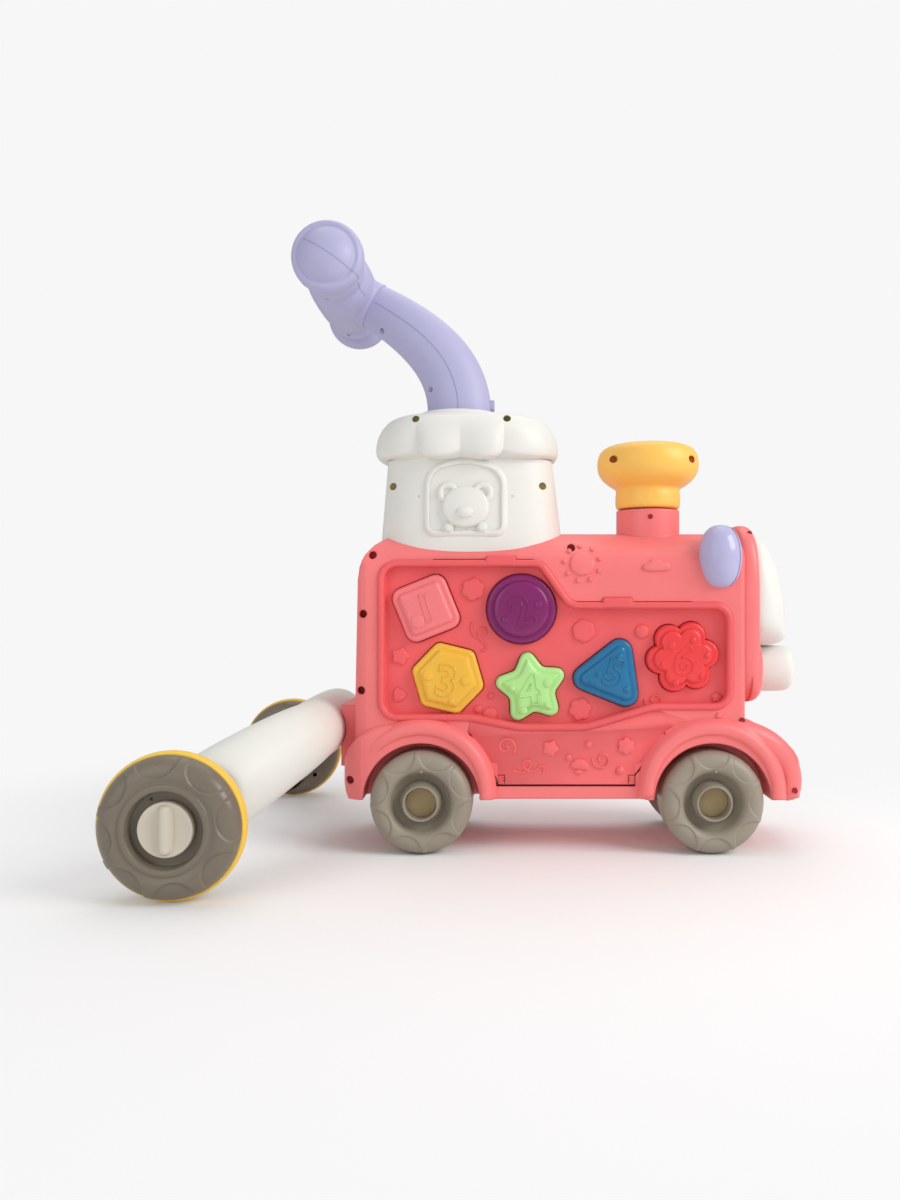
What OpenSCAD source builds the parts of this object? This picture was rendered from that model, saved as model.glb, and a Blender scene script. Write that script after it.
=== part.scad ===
// Push-along train for a toddler: a two-part casing with a shape sorter, a cab
// with a lift-off handle, a twist chimney and a plug-in fork with two big wheels.
// +X runs forward and +Z up from the floor. The sorter is on the right, at -Y.

/* [Casing] */
// Length from the rear wall to the front plate
body_l = 290; // [284:1:296]
// Width over the side walls
body_w = 96; // [94:1:104]
// Height of the crown above the floor
body_top_z = 237; // [235:1:241]
// Rise of the crown above the side walls
crown_rise = 30; // [26:1:34]
// Height of the side walls' lower edge above the floor
sill_z = 39; // [37:0.5:40]
// Radius of the rear top corner
rear_corner_r = 38; // [32:1:40]
// Radius of the upright rear corners
upright_r = 14; // [10:1:16]
// Forward lean of the rear wall at its top
rear_lean = 5; // [2:0.5:7]
// Wall of the mouldings
wall = 3; // [2.4:0.1:3.2]

/* [Fenders] */
// Stand-out of the fenders beyond the side walls
fender_out = 5; // [3:0.5:6]
// Reach of the front fender ahead of the casing
fender_reach = 43.4; // [36:0.2:45]
// Height of the fenders' top above the floor
fender_top_z = 98; // [95:1:100]
// Reach of the rear fender behind the casing
rear_bulge = 7.4; // [5:0.2:9]
// Radius of the ridge over each wheel arch
arch_r = 51; // [49:0.5:52]
// Radius of the wheel arch
well_r = 43; // [41:0.5:44]

/* [Train wheels] */
// Radius of a train wheel
wheel_r = 37.5; // [36:0.5:38]
// Width of a train wheel
wheel_w = 28; // [26:0.5:29]
// Stand-out of a wheel's face beyond the side wall
wheel_out = 12; // [10:0.5:14]
// Distance between the axles
wheelbase = 213; // [208:1:216]
// Radius of an axle
axle_r = 7; // [6:0.2:7.6]
// Radius of the open end of a hub
hub_bore_r = 10; // [9.4:0.2:10.6]

/* [Shape sorter] */
// Depth of the panel's floor below the side wall
panel_depth = 6; // [5:0.5:8]
// Width of the panel's raised rim
rim_w = 4; // [3:0.2:5]
// Thickness of a block
block_t = 22; // [18:1:24]
// Gap between a block and its hole
block_gap = 0.6; // [0.4:0.1:1]

/* [Hatch] */
// Length of the hatch along its hinge
hatch_l = 96; // [90:1:98]
// Height of the hatch
hatch_h = 35; // [32:0.5:35]
// Thickness of the hatch
hatch_t = 3; // [2.4:0.1:3.4]
// Radius of the hinge rod
hatch_rod_r = 1.5; // [1.2:0.1:1.8]

/* [Cab and roof] */
// Length of the cab at the casing
cab_l = 139; // [134:1:142]
// Width of the cab at the casing
cab_w = 86; // [82:1:90]
// Height of the cab's top above the floor
cab_top_z = 292; // [288:1:296]
// Length of the roof
roof_l = 141; // [136:1:146]
// Width of the roof
roof_w = 104; // [98:1:108]
// Height of the roof
roof_h = 39.5; // [37:0.5:42]
// Number of scallops round the roof
scallops = 14; // [10:2:16]

/* [Handle] */
// Height of the grip's axis above the floor
grip_z = 428.5; // [415:0.5:440]
// Distance of the grip's axis behind the stem's foot
grip_back = 90; // [84:1:96]
// Length of the grip
grip_l = 168; // [150:1:180]
// Radius of the grip's ball ends
grip_r = 26; // [24:0.5:28]
// Depth of the stem front to back at its foot
stem_l = 50; // [46:1:52]
// Width of the stem at its foot
stem_w = 40; // [36:1:44]
// Length of the stem inside the roof and cab
stem_in = 69.5; // [62:0.5:72]

/* [Chimney] */
// Radius of the collar on the casing
collar_r = 24.5; // [23:0.5:26]
// Height of the collar's top above the crown
collar_h = 18; // [16:0.5:20]
// Radius of the chimney knob
knob_r = 39.5; // [36:0.5:42]
// Height of the chimney knob
knob_h = 55; // [50:1:60]
// Radius of the pivot post
post_r = 10; // [9:0.2:11]

/* [Front end] */
// Thickness of the front plate
plate_t = 13; // [11:0.5:14]
// Radius of the smokebox dome
dome_r = 40; // [37:0.5:41]
// Depth of the smokebox dome
dome_t = 19.7; // [17:0.1:22]
// Radius of the nose
nose_r = 17.5; // [16:0.5:18]
// Length of the nose ahead of the front plate
nose_l = 33.9; // [30:0.1:33.9]
// Half width of a side lamp
lamp_r = 16; // [14:0.5:17]
// Height of a side lamp
lamp_h = 47; // [42:1:50]

/* [Rear fork] */
// Distance of the cross bar's axis behind the casing
bar_back = 30; // [29:0.5:32]
// Height of the cross bar's axis above the floor
bar_z = 88; // [85:1:90]
// Radius of the cross bar
bar_r = 22; // [21:0.5:23]
// Radius of a leg at its wheel
leg_end_r = 30; // [28:0.5:31]
// Length of the cross bar between its elbows
bar_l = 110; // [106:1:114]
// Radius of the plug that holds the fork in the casing
plug_r = 9; // [8:0.2:10]
// Length of the plug inside the casing
plug_l = 15; // [12:0.5:18]

/* [Rear wheels] */
// Radius of a rear wheel over its rubber band
rear_r = 46; // [44:0.5:46]
// Distance between the outer faces of the rear wheels
rear_track = 352; // [344:1:360]
// Distance of the rear wheels' axle behind the casing
rear_back = 90.9; // [84:0.1:90.9]
// Width of a rear wheel
rear_w = 29; // [27:0.5:30]
// Width of the rubber band
band_w = 4; // [3:0.2:5]
// Radius of a wheel spindle
spindle_r = 5; // [4:0.2:5.6]
// Radius of the speed knob on a wheel
speed_r = 17; // [15.5:0.5:18]

/* [Hidden] */

// Round shapes and shared gaps
$fn = 64;
arc_steps = 6;
// How far a cut runs past the face it leaves
overrun = 1;
// Gap between two fixed mouldings
fit = 0.2;
// Gap round a moulding that moves
play = 0.5;
// Radial gap of a shaft in its bearing
run = 0.05;

// Where the casing stands, and its derived sizes
body_rear_x = -100;
body_front_x = body_rear_x + body_l;
body_y = body_w / 2;
shoulder_z = body_top_z - crown_rise;
edge_r = 4;
reach = 2 * body_l;
fender_y = body_y + fender_out;
fender_front_x = body_front_x + fender_reach;
fender_tail_x = body_rear_x - rear_bulge;
fender_lip = 12;
fender_root = 16;
fender_corner_r = 20;
skirt_in = 7;
skirt_y = fender_y - skirt_in;
arch_lift = 6;
ridge_edge = 6;
tail_r = 37;
tail_z = 57;

// Running gear of the train
rear_axle_in = 51.7;
rear_axle_x = body_rear_x + rear_axle_in;
front_axle_x = rear_axle_x + wheelbase;
axle_xs = [rear_axle_x, front_axle_x];
wheel_y = body_y + wheel_out;
wheel_in_y = wheel_y - wheel_w;
side_gap = 2;
well_y = wheel_in_y - side_gap;
axle_block_l = 24;
axle_block_drop = 10.5;
axle_block_rise = 14;
hub_bearing_l = 10;
hub_seat_y = wheel_in_y + hub_bearing_l;
cap_t = 4;
axle_y = hub_seat_y + play + cap_t;
axle_end_l = 3;

// Sorter panel: outline corners as shares of its length and height
panel_in = 20;
panel_front = 10;
panel_drop = 23;
panel_x = body_rear_x + panel_in;
panel_z = 90;
panel_l = body_l - panel_in - panel_front;
panel_h = body_top_z - panel_drop - panel_z;
panel_shares = [[0, 0.056], [0.26, 0.056], [0.395, 0], [0.586, 0], [0.778, 0.12], [1, 0.12],
    [1, 0.75], [0.545, 0.75], [0.462, 1], [0, 1]];
panel_corner_shares = [0.11, 0.24, 0.24, 0.24, 0.24, 0.11, 0.11, 0.09, 0.09, 0.11];
rim_out = 1.5;
panel_t = 2.5;
seat_wall = 1.6;
ledge_w = 4;
ledge_t = 3;
floor_y = body_y - panel_depth;
seat_y = floor_y - panel_t;
tab_l = 21;
tab_h = 3.5;
tab_t = 4;
tab_shares = [[0.345, 1], [0.675, 0.75]];

// Blocks: radius and centre as shares of the panel
block_r_share = 0.10385;
block_r = block_r_share * panel_l;
square_shares = [0.133, 0.718];
circle_shares = [0.404, 0.714];
hexagon_shares = [0.195, 0.302];
star_shares = [0.432, 0.244];
triangle_shares = [0.657, 0.323];
flower_shares = [0.861, 0.429];
block_out = 2.5;
block_step = 3;
block_wall = 2.4;
block_step_share = 0.74;
corner_share = 0.22;
star_in_share = 0.54;
petal_share = 0.12;
petal_power = 0.75;
circle_share = 0.95;
square_size_share = 1.1;
triangle_size_share = 1.36;
triangle_corner_share = 0.34;
square_corner_share = 0.3;
star_size_share = 1.2;
hexagon_size_share = 1.03;

// Hatch: hinge line, and the spread of its sides
hatch_in = 108;
hatch_x = body_rear_x + hatch_in;
hatch_axis_z = 52;
hatch_knuckle_r = 3;
hatch_spread_shares = [0.235, 0.3];
hatch_rise_shares = [0.14, 0.1];
hatch_corner_r = 2;
hatch_swing_r = norm([hatch_knuckle_r, hatch_t]) + play;
// How far the hatch's edge has dropped when it leaves the wall, and the gap that its slant needs for that
hatch_drop = hatch_knuckle_r * tan(asin(hatch_knuckle_r / hatch_swing_r) / 2);
hatch_lean = atan(max(hatch_spread_shares) * hatch_l / hatch_h);
hatch_gap = play + hatch_drop * sin(hatch_lean);
lug_l = 6;
lug_h = 8;

// Block tray inside the casing
tray_gap = 4;
tray_t = 2.5;
tray_fall = 22;
tray_rib_y = 30;

// Cab and roof
cab_in = 87;
cab_lean = 2.2;
cab_x = body_rear_x + cab_in;
cab_top_x = cab_x - cab_lean;
cab_top_l_share = 0.9;
cab_top_w_share = 0.9;
cab_power = 2.8;
cab_steps = 40;
cab_sink = 30;
window_l = 62;
window_h = 56;
window_z = 233;
window_cut = 1.6;
cab_screw_share = 0.66;
roof_lean = 3.7;
roof_x = cab_x - roof_lean;
roof_z = cab_top_z;
roof_power = 2.5;
roof_steps = 84;
lobe_share = 0.075;
roof_screw_share = 0.62;
// Height, reach and lobe depth of each ring of the roof
roof_ring_shares = [[0, 0.93, 0.8], [0.1, 0.985, 1], [0.3, 1, 1], [0.5, 0.98, 0.8], [0.67, 0.93, 0.4],
    [0.8, 0.87, 0.15], [0.9, 0.78, 0], [0.97, 0.66, 0], [1, 0.53, 0]];

// Handle: stem route as shares of the way from its foot to the grip
stem_lean = 10;
stem_x = cab_x - stem_lean;
roof_top_z = roof_z + roof_h;
grip_x = stem_x - grip_back;
stem_foot_z = roof_top_z - stem_in;
shelf_t = 3;
stem_shares = [[0, 0], [0, 0.41], [0.33, 0.69], [0.95, 0.976]];
socket_shares = [0.865, 0.925, 0.982];
socket_out = 1.2;
stem_taper_share = 0.64;
stem_taper_power = 1.6;
stem_steps = 8;
stem_sides = 10;
// Radius and half length of the grip's rings, from its middle to its end
grip_shares = [[0.86, 0], [0.86, 0.28], [0.82, 0.4], [0.78, 0.45], [0.82, 0.49], [0.84, 0.58], [0.82, 0.67],
    [0.77, 0.7], [0.88, 0.74], [0.97, 0.79], [1, 0.85], [0.98, 0.91], [0.9, 0.955], [0.8, 0.97],
    [0.76, 0.965], [0.7, 0.978], [0.5, 0.994], [0.2, 1]];
latch_l = 7;
latch_w = 10;
latch_out = 2.5;
latch_travel = 2.5;
latch_rise = 3;
latch_flange = 2;
latch_flange_t = 2.5;
spring_r = 3;
spring_wire_r = 0.4;
spring_turns = 5;
rib_t = 2.5;

// Chimney
chimney_in = 225;
chimney_x = body_rear_x + chimney_in;
collar_top_z = body_top_z + collar_h;
collar_wall = 6;
post_flange_r = 16;
post_flange_t = 4;
knob_gap = 1;
knob_floor = 4;
// Radius and height of the knob's rings, from foot to top
knob_shares = [[0.6, 0], [0.635, 0.02], [0.635, 0.25], [0.6, 0.28], [0.6, 0.3], [0.78, 0.36], [0.93, 0.46],
    [1, 0.58], [1, 0.7], [0.96, 0.82], [0.86, 0.92], [0.7, 0.98], [0.55, 1]];
knob_cavity_share = 0.52;
knob_screw_shares = [0.75, 0.66];

// Front end
plate_x = body_front_x + plate_t;
plate_gap = 10;
plate_z = fender_top_z + plate_gap;
dome_drop = 45;
dome_z = body_top_z - dome_drop;
nose_drop = 107;
nose_z = body_top_z - nose_drop;
nose_edge_r = 5;
lamp_back = 18;
lamp_x = body_front_x - lamp_back;
lamp_drop = 20;
lamp_z = body_top_z - lamp_drop;
lamp_sink = 4;
lamp_y = body_y - lamp_sink;

// Rear fork
bar_x = body_rear_x - bar_back;
cradle_l = 11;
cradle_w = 56;
cradle_top = 18;
cradle_foot = 28;
bar_y = bar_l / 2;
rear_x = body_rear_x - rear_back;
rear_y = rear_track / 2;
rear_in_y = rear_y - rear_w;
leg_y = rear_in_y - side_gap;
leg_steps = 12;
leg_sides = 24;
// Control points of a leg as shares of the way from its elbow to its wheel
leg_shares = [[0, 0, 0], [0.02, 0.42, 0.02], [0.6, 0.66, 0.5], [1, 1, 1]];
leg_flare_power = 1;
leg_hollow_share = 0.72;
spindle_in = 16;
spindle_head_r = 9;
spindle_head_t = 3;

// Rear wheel levels from the inner face outward
inner_hub_l = 8;
inner_t = 13;
band_y = rear_in_y + inner_t;
outer_y0 = band_y + band_w;
band_depth = 6;
tread_drop = 1.8;
web_t = 3;
dish_r = 28;
recess_r = 22.6;
recess_depth = 10;
recess_y = rear_y - recess_depth;
knob_shaft_r = 6;
speed_t = 6;
speed_rib_w = 8;
speed_rib_h = 3;
petals = 8;

// Screws: shank and head, and the pillars that take them
screw_r = 1.4;
screw_head_r = 2.7;
screw_head_t = 2;
screw_l = 22;
screw_in = 10;
screw_gap = 0.3;
boss_r = 4.5;
// Screw places as shares of the casing's length and height
body_screw_shares = [[0.052, 0.921], [0.029, 0.738], [0.024, 0.5], [-0.003, 0.223], [0.559, 0.945],
    [0.99, 0.397], [1.124, 0.19]];

// Unit vector, and the angle of a turn kept within half a turn
function unit(v) = v / norm(v);
function half_turn(a) = a > 180 ? a - 360 : a < -180 ? a + 360 : a;
function wrap(i, n) = (i + n) % n;
// Outward normal of an edge of an outline that runs anticlockwise
function edge_normal(a, b) = unit([b[1] - a[1], a[0] - b[0]]);
// Sign of the turn at a corner: 1 where the outline is convex
function corner_sign(a, b, c) = sign((b[0] - a[0]) * (c[1] - b[1]) - (b[1] - a[1]) * (c[0] - b[0]));
// Outline moved outward by g, corner by corner
function grown(p, g) = [for (i = [0 : len(p) - 1])
    let (n = edge_normal(p[wrap(i - 1, len(p))], p[i]), m = edge_normal(p[i], p[wrap(i + 1, len(p))]))
    p[i] + g * (n + m) / (1 + n * m)];
// Radii that keep a grown outline parallel
function grown_radii(p, r, g) = [for (i = [0 : len(p) - 1])
    r[i] + g * corner_sign(p[wrap(i - 1, len(p))], p[i], p[wrap(i + 1, len(p))])];
// Outline with each corner rounded by its own radius
function rounded(p, r) = [for (i = [0 : len(p) - 1])
    let (u = unit(p[wrap(i - 1, len(p))] - p[i]), v = unit(p[wrap(i + 1, len(p))] - p[i]),
        half = acos(u * v) / 2, o = p[i] + unit(u + v) * r[i] / sin(half),
        s = p[i] + u * r[i] / tan(half) - o, e = p[i] + v * r[i] / tan(half) - o,
        from = atan2(s[1], s[0]), sweep = half_turn(atan2(e[1], e[0]) - from))
    for (k = [0 : arc_steps]) let (a = from + sweep * k / arc_steps) o + r[i] * [cos(a), sin(a)]];
function offset_outline(p, r, g) = rounded(grown(p, g), grown_radii(p, r, g));
function same(r, n) = [for (i = [1 : n]) r];
// Rectangle about a middle, with rounded corners
function rectangle(x0, y0, x1, y1) = [[x0, y0], [x1, y0], [x1, y1], [x0, y1]];
function ellipse(a, b, n) = [for (i = [0 : n - 1]) [a * cos(360 * i / n), b * sin(360 * i / n)]];
// Point on a cubic route with four control points
function cubic(p, t) = pow(1 - t, 3) * p[0] + 3 * t * pow(1 - t, 2) * p[1] + 3 * t * t * (1 - t) * p[2]
    + pow(t, 3) * p[3];
function steps(n) = [for (i = [0 : n]) i / n];

// Outline in X and Z carried across the train, in Y and Z carried along it
module across(y0, y1) { translate([0, y1, 0]) rotate([90, 0, 0]) linear_extrude(y1 - y0) children(); }
module along(x0, x1) { translate([x0, 0, 0]) rotate([90, 0, 90]) linear_extrude(x1 - x0) children(); }
module rod_x(x0, x1, y, z, r) { translate([x0, y, z]) rotate([0, 90, 0]) cylinder(r = r, h = x1 - x0); }
module rod_y(x, y0, y1, z, r) { translate([x, y0, z]) rotate([-90, 0, 0]) cylinder(r = r, h = y1 - y0); }
// Turned shape about a cross axle: radius and distance from the mid-plane, on the right
module turned_y(x, z, points) {
    translate([x, 0, z]) rotate([90, 0, 0]) rotate_extrude() polygon(points);
}
module turned_x(x, z, points) {
    translate([x, 0, z]) rotate([0, 90, 0]) rotate_extrude() polygon(points);
}
module far_side() { mirror([0, 1, 0]) children(); }
module right_half() {
    intersection() {
        children();
        translate([-reach, -reach, -reach]) cube([2 * reach, reach, 2 * reach]);
    }
}
// Skin through rings of points, closed at both ends
module skin(rings) {
    n = len(rings[0]);
    m = len(rings);
    polyhedron(
        points = [for (ring = rings) for (p = ring) p],
        faces = concat(
            [[for (i = [0 : n - 1]) i]],
            [for (k = [0 : m - 2]) for (i = [0 : n - 1]) each [
                [k * n + i, (k + 1) * n + i, k * n + (i + 1) % n],
                [k * n + (i + 1) % n, (k + 1) * n + i, (k + 1) * n + (i + 1) % n]]],
            [[for (i = [0 : n - 1]) m * n - 1 - i]]));
}

// Screw pointing from its head at the right towards the left, seated at y
module screw(x, y, z) {
    rod_y(x, y, y + screw_l, z, screw_r);
    rod_y(x, y - screw_head_t, y, z, screw_head_r);
}
// Room for a screw in the right moulding and its pilot in the left one
module screw_room(x, y, z) {
    rod_y(x, y - reach, y, z, screw_head_r + screw_gap);
    rod_y(x, y - overrun, y + screw_l + screw_gap, z, screw_r + run);
}

// Casing
side_outline = [[body_rear_x, sill_z], [body_front_x, sill_z], [body_front_x, body_top_z],
    [body_rear_x + rear_lean, body_top_z]];
side_radii = [edge_r, edge_r, edge_r, rear_corner_r];
function crown_outline(g, foot) = concat([[-body_y - g, foot], [body_y + g, foot]],
    [for (a = [0 : 10 : 180]) [(body_y + g) * cos(a), shoulder_z + (crown_rise + g) * sin(a)]]);
module casing(g) {
    intersection() {
        across(-body_y - g - overrun, body_y + g + overrun)
            polygon(offset_outline(side_outline, side_radii, g));
        along(body_rear_x - g - overrun, body_front_x + g + overrun) polygon(crown_outline(g, sill_z - g));
        translate([0, 0, sill_z - g - overrun]) linear_extrude(reach)
            polygon(offset_outline(rectangle(body_rear_x, -body_y, body_front_x, body_y),
                [upright_r, edge_r, edge_r, upright_r], g));
    }
}
function fender_outline(x0, x1, g) = concat([[x0, sill_z - g], [x1, sill_z - g]],
    [for (a = [0 : 10 : 90]) [x0 + (x1 - x0) * cos(a),
        sill_z + fender_lip + (fender_top_z + g - sill_z - fender_lip) * sin(a)]]);
// Round-edged ridge over a wheel, on the right
module ridge(x, z, r, g) {
    turned_y(x, z, concat([[0, -overrun], [r + g, -overrun]],
        [for (a = [0 : 15 : 90])
            [r + g - ridge_edge * (1 - cos(a)), fender_y + g - ridge_edge * (1 - sin(a))]],
        [[0, fender_y + g]]));
}
module skirts(g) {
    intersection() {
        union() {
            across(-skirt_y - g, overrun)
                polygon(fender_outline(body_front_x - fender_root, fender_front_x + g, g));
            for (x = axle_xs) ridge(x, wheel_r + arch_lift, arch_r, g);
            ridge(fender_tail_x + tail_r, tail_z, tail_r, g);
        }
        translate([0, 0, sill_z - g]) linear_extrude(fender_top_z)
            polygon(offset_outline(rectangle(fender_tail_x, -fender_y, fender_front_x, fender_y),
                same(fender_corner_r, 4), g));
    }
}
module shell_form(g) {
    casing(g);
    skirts(g);
}
module axle_blocks() {
    for (x = axle_xs)
        translate([x - axle_block_l / 2, -well_y, wheel_r - axle_block_drop])
            cube([axle_block_l, well_y, axle_block_drop + axle_block_rise]);
}
module cradle() {
    translate([body_rear_x - cradle_l, -cradle_w / 2, bar_z - cradle_foot])
        cube([cradle_l + wall, cradle_w, cradle_foot + cradle_top]);
}
module collar() {
    translate([chimney_x, 0, shoulder_z]) cylinder(r = collar_r, h = collar_top_z - shoulder_z);
}
function panel_corners() = [for (s = panel_shares) [panel_x + s[0] * panel_l, panel_z + s[1] * panel_h]];
panel_radii = [for (s = panel_corner_shares) s * panel_h];
module panel_shape(g) { polygon(offset_outline(panel_corners(), panel_radii, g)); }
module tabs(g) {
    for (s = tab_shares)
        translate([panel_x + s[0] * panel_l - tab_l / 2 - g, -body_y - rim_out - g,
            panel_z + s[1] * panel_h - rim_w])
            cube([tab_l + 2 * g, tab_t + rim_out + g, rim_w + tab_h + g]);
}
module hatch_shape(g) {
    polygon(offset_outline([[hatch_x, hatch_axis_z], [hatch_x + hatch_l, hatch_axis_z],
        [hatch_x + (1 + hatch_spread_shares[1]) * hatch_l, hatch_axis_z + hatch_h],
        [hatch_x + hatch_rise_shares[0] * hatch_l, hatch_axis_z + hatch_h],
        [hatch_x - hatch_spread_shares[0] * hatch_l, hatch_axis_z + (1 + hatch_rise_shares[1]) * hatch_h]],
        [play, play, hatch_corner_r, hatch_corner_r, hatch_corner_r], g));
}
hatch_axis_y = body_y - hatch_knuckle_r;
body_screw_places = [for (s = body_screw_shares) [body_rear_x + s[0] * body_l, s[1] * body_top_z]];

module body_shell(sorter) {
    difference() {
        right_half() union() {
            difference() {
                union() {
                    shell_form(0);
                    cradle();
                    collar();
                }
                shell_form(-wall);
            }
            intersection() {
                shell_form(0);
                union() {
                    for (x = axle_xs) rod_y(x, -fender_y, -well_y + wall, wheel_r, well_r + wall);
                    across(-body_y, -seat_y + ledge_t) panel_shape(fit + seat_wall);
                    for (p = body_screw_places)
                        rod_y(p[0], -fender_y, 0, p[1], boss_r);
                    if (sorter)
                        for (x = [hatch_x - lug_l - hatch_swing_r, hatch_x + hatch_l + hatch_swing_r])
                            translate([x, -body_y, hatch_axis_z - lug_h])
                                cube([lug_l, 2 * hatch_knuckle_r, 2 * lug_h]);
                }
            }
            axle_blocks();
        }
        for (x = axle_xs) {
            rod_y(x, -reach, -well_y, wheel_r, well_r);
            rod_y(x, -reach, overrun, wheel_r, axle_r + run);
        }
        across(-reach, -seat_y) panel_shape(fit);
        across(-reach, -seat_y + ledge_t + overrun) panel_shape(-ledge_w);
        tabs(fit);
        rod_x(body_rear_x - cradle_l - overrun, body_rear_x + plug_l, 0, bar_z, plug_r + play);
        rod_y(bar_x, -reach, overrun, bar_z, bar_r + play);
        translate([chimney_x, 0, shoulder_z]) {
            cylinder(r = post_r + fit, h = reach);
            cylinder(r = collar_r - wall, h = collar_top_z - collar_wall - shoulder_z);
        }
        for (p = body_screw_places)
            if (sorter) screw_room(p[0], -screw_in, p[1]);
            else far_side() screw_room(p[0], -screw_in, p[1]);
        if (sorter) {
            across(-reach, -body_y + 2 * hatch_knuckle_r) hatch_shape(hatch_gap);
            rod_x(hatch_x - hatch_swing_r, hatch_x + hatch_l + hatch_swing_r, -hatch_axis_y, hatch_axis_z,
                hatch_swing_r);
            rod_x(hatch_x - lug_l - hatch_swing_r - play, hatch_x + hatch_l + lug_l + hatch_swing_r + play,
                -hatch_axis_y, hatch_axis_z, hatch_rod_r + run);
        }
    }
}
module body_shell_right() { color("#ee6a6c") body_shell(true); }
module body_shell_left() { color("#ee6a6c") far_side() body_shell(false); }

// Sorter: outline of each block, grown by g
function regular(n, r, turn) = [for (i = [0 : n - 1]) r * [cos(turn + 360 * i / n), sin(turn + 360 * i / n)]];
function star(r, turn) = [for (i = [0 : 9])
    (i % 2 == 0 ? r : star_in_share * r) * [cos(turn + 36 * i), sin(turn + 36 * i)]];
function cornered(p, share, g) = offset_outline(p, same(share * block_r, len(p)), g);
square_turn = 67;
hexagon_turn = 46;
star_turn = 98;
triangle_turn = 68;
flower_turn = 7;
module square_shape(g) {
    polygon(cornered(regular(4, square_size_share * block_r, square_turn), square_corner_share, g));
}
module circle_shape(g) { circle(r = circle_share * block_r + g); }
module hexagon_shape(g) {
    polygon(cornered(regular(6, hexagon_size_share * block_r, hexagon_turn), corner_share, g));
}
module star_shape(g) { polygon(cornered(star(star_size_share * block_r, star_turn), corner_share, g)); }
module triangle_shape(g) {
    polygon(cornered(regular(3, triangle_size_share * block_r, triangle_turn), triangle_corner_share, g));
}
function petal_at(a) = pow(abs(cos(3 * (a - flower_turn))), petal_power);
function flower_r(a) = block_r * (1 - 2 * petal_share * (1 - petal_at(a)));
module flower_shape(g) {
    polygon([for (a = [2 : 4 : 358]) (flower_r(a) + g) * [cos(a), sin(a)]]);
}
function block_place(s) = [panel_x + s[0] * panel_l, 0, panel_z + s[1] * panel_h];
block_y = body_y + block_out;
block_back_y = block_y - block_t;
step_y = block_y - block_step;
module holes(y0, y1, g) {
    translate(block_place(square_shares)) across(y0, y1) square_shape(g);
    translate(block_place(circle_shares)) across(y0, y1) circle_shape(g);
    translate(block_place(hexagon_shares)) across(y0, y1) hexagon_shape(g);
    translate(block_place(star_shares)) across(y0, y1) star_shape(g);
    translate(block_place(triangle_shares)) across(y0, y1) triangle_shape(g);
    translate(block_place(flower_shares)) across(y0, y1) flower_shape(g);
}
module panel() {
    difference() {
        union() {
            across(-body_y - rim_out, -seat_y) panel_shape(0);
            tabs(0);
        }
        across(-reach, -floor_y) panel_shape(-rim_w);
    }
}
module sorter_panel() {
    color("#f0686c") difference() {
        panel();
        holes(-reach, 0, block_gap);
    }
}
module side_panel() { color("#f0686c") far_side() panel(); }
step_inset = -(1 - block_step_share) * block_r;
module block_square() {
    color("#f58083") translate(block_place(square_shares)) difference() {
        union() {
            across(-step_y, -block_back_y) square_shape(0);
            across(-block_y, -step_y) square_shape(step_inset);
        }
        across(-step_y + block_wall, -block_back_y + overrun) square_shape(-block_wall);
    }
}
module block_circle() {
    color("#7a1f73") translate(block_place(circle_shares)) difference() {
        union() {
            across(-step_y, -block_back_y) circle_shape(0);
            across(-block_y, -step_y) circle_shape(step_inset);
        }
        across(-step_y + block_wall, -block_back_y + overrun) circle_shape(-block_wall);
    }
}
module block_hexagon() {
    color("#efb93c") translate(block_place(hexagon_shares)) difference() {
        union() {
            across(-step_y, -block_back_y) hexagon_shape(0);
            across(-block_y, -step_y) hexagon_shape(step_inset);
        }
        across(-step_y + block_wall, -block_back_y + overrun) hexagon_shape(-block_wall);
    }
}
module block_star() {
    color("#98e27c") translate(block_place(star_shares)) difference() {
        union() {
            across(-step_y, -block_back_y) star_shape(0);
            across(-block_y, -step_y) star_shape(step_inset / 2);
        }
        across(-step_y + block_wall, -block_back_y + overrun) star_shape(-block_wall);
    }
}
module block_triangle() {
    color("#1f74ac") translate(block_place(triangle_shares)) difference() {
        union() {
            across(-step_y, -block_back_y) triangle_shape(0);
            across(-block_y, -step_y) triangle_shape(step_inset / 2);
        }
        across(-step_y + block_wall, -block_back_y + overrun) triangle_shape(-block_wall);
    }
}
module block_flower() {
    color("#f04748") translate(block_place(flower_shares)) difference() {
        union() {
            across(-step_y, -block_back_y) flower_shape(0);
            across(-block_y, -step_y) flower_shape(step_inset);
        }
        across(-step_y + block_wall, -block_back_y + overrun) flower_shape(-block_wall);
    }
}

// Hatch with its rod, which turns in the casing's lugs
module hatch_flap() {
    color("#ee6467") difference() {
        union() {
            across(-body_y, -body_y + hatch_t) hatch_shape(0);
            rod_x(hatch_x, hatch_x + hatch_l, -hatch_axis_y, hatch_axis_z, hatch_knuckle_r);
        }
        rod_x(hatch_x - overrun, hatch_x + hatch_l + overrun, -hatch_axis_y, hatch_axis_z, hatch_rod_r + run);
    }
}
module hatch_rod() {
    color("#c9c9c4")
        rod_x(hatch_x - lug_l - hatch_swing_r, hatch_x + hatch_l + lug_l + hatch_swing_r, -hatch_axis_y,
            hatch_axis_z, hatch_rod_r);
}
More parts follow.
